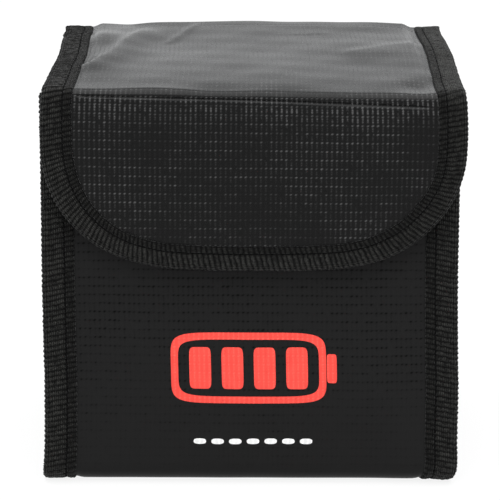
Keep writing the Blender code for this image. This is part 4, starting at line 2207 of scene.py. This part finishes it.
@dataclass
class FrontPrint:
    """A plain charge sign in red, over a broken rule in white.

    Each size is a half width, a half height and a corner radius.
    """

    room: Workroom
    film: float = 0.06 * MM
    across: float = 0.6 * MM
    height: float = 38.0 * MM
    ring: float = 2.2 * MM
    rule_height: float = 14.4 * MM
    body_at: float = -1.4 * MM
    cap_at: float = 23.9 * MM
    body_size: Point = (23.6 * MM, 11.2 * MM, 3.2 * MM)
    cap_size: Point = (1.5 * MM, 4.6 * MM, 1.2 * MM)
    bar_size: Point = (3.3 * MM, 6.6 * MM, 1.1 * MM)
    dash_size: Point = (1.9 * MM, 0.9 * MM, 0.8 * MM)
    bars: int = 4
    bar_pitch: float = 9.8 * MM
    dashes: int = 7
    dash_pitch: float = 5.4 * MM
    columns: int = 160
    ring_rows: int = 8
    patch_rows: int = 16
    weld: float = 1e-7

    def patch(self, name: str, shape: InkPatch, finish: Finish, width: float = 0.0) -> None:
        """One patch of ink, filled or as a ring.

        Args:
            name: The piece's name.
            shape: The patch.
            finish: Its ink.
            width: Width of the ring, or none where the patch is filled.
        """
        room = self.room

        def place(share: Array, step: Array) -> Pair:
            """Sets the grid round the patch.

            Args:
                share: Shares round the patch.
                step: Shares in from its edge.

            Returns:
                Points and flat places.
            """
            across, height = shape.edge(1.0 - share, step * width)
            if not width:
                across = shape.across + (across - shape.across) * (1.0 - step)
                height = shape.height + (height - shape.height) * (1.0 - step)
            run = room.path.run_on_front(height)
            return room.surface.point(across, run, self.film), np.stack((across, run), axis=-1)

        rows = self.ring_rows if width else self.patch_rows
        mesh = grid_mesh(name, self.columns, rows, place, weld=self.weld)
        add_piece(Plan(name, Slot.PRINT, Body.BAG), mesh, finish)

    def row(self, name: str, count: int, pitch: float, size: Point, middle: InkPatch, ink: Finish) -> None:
        """A row of like patches.

        Args:
            name: What the pieces are called, before their numbers.
            count: How many there are.
            pitch: Distance from one to the next.
            size: Their half width, half height and radius.
            middle: A patch at the row's middle.
            ink: Their ink.
        """
        for index in range(count):
            across = middle.across + (index - (count - 1) / 2) * pitch
            self.patch(f"{name}_{index + 1}", InkPatch(across, middle.height, *size), ink)

    def build(self) -> None:
        """Prints the ring, its cap, its bars and the rule."""
        x, z = self.across, self.height
        body = InkPatch(x + self.body_at, z, *self.body_size)
        rule = InkPatch(x, self.rule_height, *self.dash_size)
        self.patch("print_ring", body, RED_INK, self.ring)
        self.patch("print_cap", InkPatch(x + self.cap_at, z, *self.cap_size), RED_INK)
        self.row("print_bar", self.bars, self.bar_pitch, self.bar_size, body, RED_INK)
        self.row("print_dash", self.dashes, self.dash_pitch, self.dash_size, rule, WHITE_INK)


@dataclass(frozen=True)
class Lamp:
    """A square soft light, by its place, the length of its sides and its watts."""

    name: str
    place: Point
    size: float
    power: float

    def hang(self, target: Point) -> None:
        """Puts the light in the scene, facing a target.

        Args:
            target: The place it faces.
        """
        data = bpy.data.lights.new(self.name, "AREA")
        data.size, data.energy = self.size, self.power
        item = bpy.data.objects.new(self.name, data)
        aim = (Vector(self.place) - Vector(target)).to_track_quat("Z", "Y")
        item.matrix_world = Matrix.Translation(self.place) @ aim.to_matrix().to_4x4()
        bpy.context.scene.collection.objects.link(item)


@dataclass
class Studio:
    """The pale floor, the soft light and the camera."""

    eye: Point = (-3.7 * MM, -728.9 * MM, 293.3 * MM)
    pitch: float = 17.57
    yaw: float = -0.27
    roll: float = 0.35
    lens: float = 172.8
    sensor: float = 36.0
    clip: tuple[float, float] = (0.01, 50.0)
    floor_half: float = 4.0
    floor_drop: float = 0.1 * MM
    floor_shades: tuple[Colour, Colour] = (grey(0.80), grey(0.86))
    floor_grain: tuple[float, float] = (90.0, 4.0)
    floor_rough: float = 0.9
    floor_specular: float = 0.1
    ambient: float = 0.35
    glow: float = 1.0
    sky: Colour = (0.975, 0.99, 1.0, 1.0)
    backdrop_share: float = 0.86
    target: Point = (0.0, 0.0, 0.06)
    lamps: tuple[Lamp, ...] = (
        Lamp("overhead", (0.0, -0.2, 1.7), 2.4, 70.0),
        Lamp("behind", (0.0, 1.7, 0.75), 1.7, 3.4),
        Lamp("front_left", (-0.9, -1.2, 0.9), 0.9, 5.0),
        Lamp("front_right", (0.9, -1.2, 0.8), 0.9, 4.0),
    )

    def camera(self) -> None:
        """Sets the camera at the photograph's place."""
        data = bpy.data.cameras.new("camera")
        data.lens, data.sensor_width = self.lens, self.sensor
        data.clip_start, data.clip_end = self.clip
        item = bpy.data.objects.new("camera", data)
        turn = Matrix.Rotation(math.radians(self.yaw), 4, "Z")
        tilt = Matrix.Rotation(math.radians(90.0 - self.pitch), 4, "X")
        lean = Matrix.Rotation(math.radians(self.roll), 4, "Z")
        item.matrix_world = Matrix.Translation(self.eye) @ turn @ tilt @ lean
        bpy.context.scene.collection.objects.link(item)
        bpy.context.scene.camera = item

    def seen(self, bench: NodeBench) -> Socket:
        """Wires a mask of the rays that see the backdrop: straight, in a gloss or through a clear surface.

        Args:
            bench: The backdrop's bench.

        Returns:
            The mask.
        """
        rays = bench.add("ShaderNodeLightPath").outputs
        direct = bench.math("MAXIMUM", rays["Is Camera Ray"], rays["Is Glossy Ray"])
        return bench.math("MAXIMUM", direct, rays["Is Transmission Ray"])

    def floor(self) -> None:
        """Lays the floor, white to the camera but for the bag's shadow."""
        shape = bmesh.new()
        bmesh.ops.create_grid(shape, x_segments=2, y_segments=2, size=self.floor_half)
        bmesh.ops.translate(shape, verts=shape.verts[:], vec=(0.0, 0.0, -self.floor_drop))
        mesh = mesh_of(shape, "floor")
        made = bpy.data.materials.new("pale_floor")
        made.use_nodes = True
        bench = NodeBench(made.node_tree)
        shader = made.node_tree.nodes["Principled BSDF"]
        shader.inputs["Roughness"].default_value = self.floor_rough
        shader.inputs["Specular IOR Level"].default_value = self.floor_specular
        _, shade = fibres(bench, *self.floor_grain)
        bench.feed(shader.inputs["Base Color"], bench.mix(shade, *self.floor_shades))
        light = bench.add("ShaderNodeEmission")
        share = bench.times(self.seen(bench), self.backdrop_share)
        both = bench.add("ShaderNodeMixShader", {0: share, 1: shader.outputs[0], 2: light.outputs[0]})
        bench.feed(made.node_tree.nodes["Material Output"].inputs["Surface"], both.outputs[0])
        mesh.materials.append(made)
        item = bpy.data.objects.new("floor", mesh)
        bpy.context.scene.collection.objects.link(item)

    def world(self) -> None:
        """A white room for the camera and the gloss, dimmer as a light."""
        made = bpy.data.worlds.new("white_room")
        made.use_nodes = True
        bpy.context.scene.world = made
        bench = NodeBench(made.node_tree)
        back = made.node_tree.nodes["Background"]
        back.inputs["Color"].default_value = self.sky
        span = bench.times(self.seen(bench), self.glow - self.ambient)
        bench.feed(back.inputs["Strength"], bench.math("ADD", span, self.ambient))

    def build(self) -> None:
        """Sets up the camera, the room and the lights."""
        bpy.context.scene.view_settings.view_transform = "Standard"
        self.camera()
        self.floor()
        self.world()
        for lamp in self.lamps:
            lamp.hang(self.target)


def main() -> None:
    """Builds the bag's sub-assemblies in order."""
    logging.basicConfig(level=logging.INFO, format="%(message)s")
    Studio().build()
    room = Workroom.open()
    outer = OuterCloth(room)
    walls = [SideWall(room, side) for side in Side]
    outer.build()
    for wall in walls:
        wall.build()
    BoxLinings(room, outer).build()
    BoundSeams(room, outer).build(walls)
    Closure().build()
    FrontPrint(room).build()


if __name__ == "__main__":
    main()
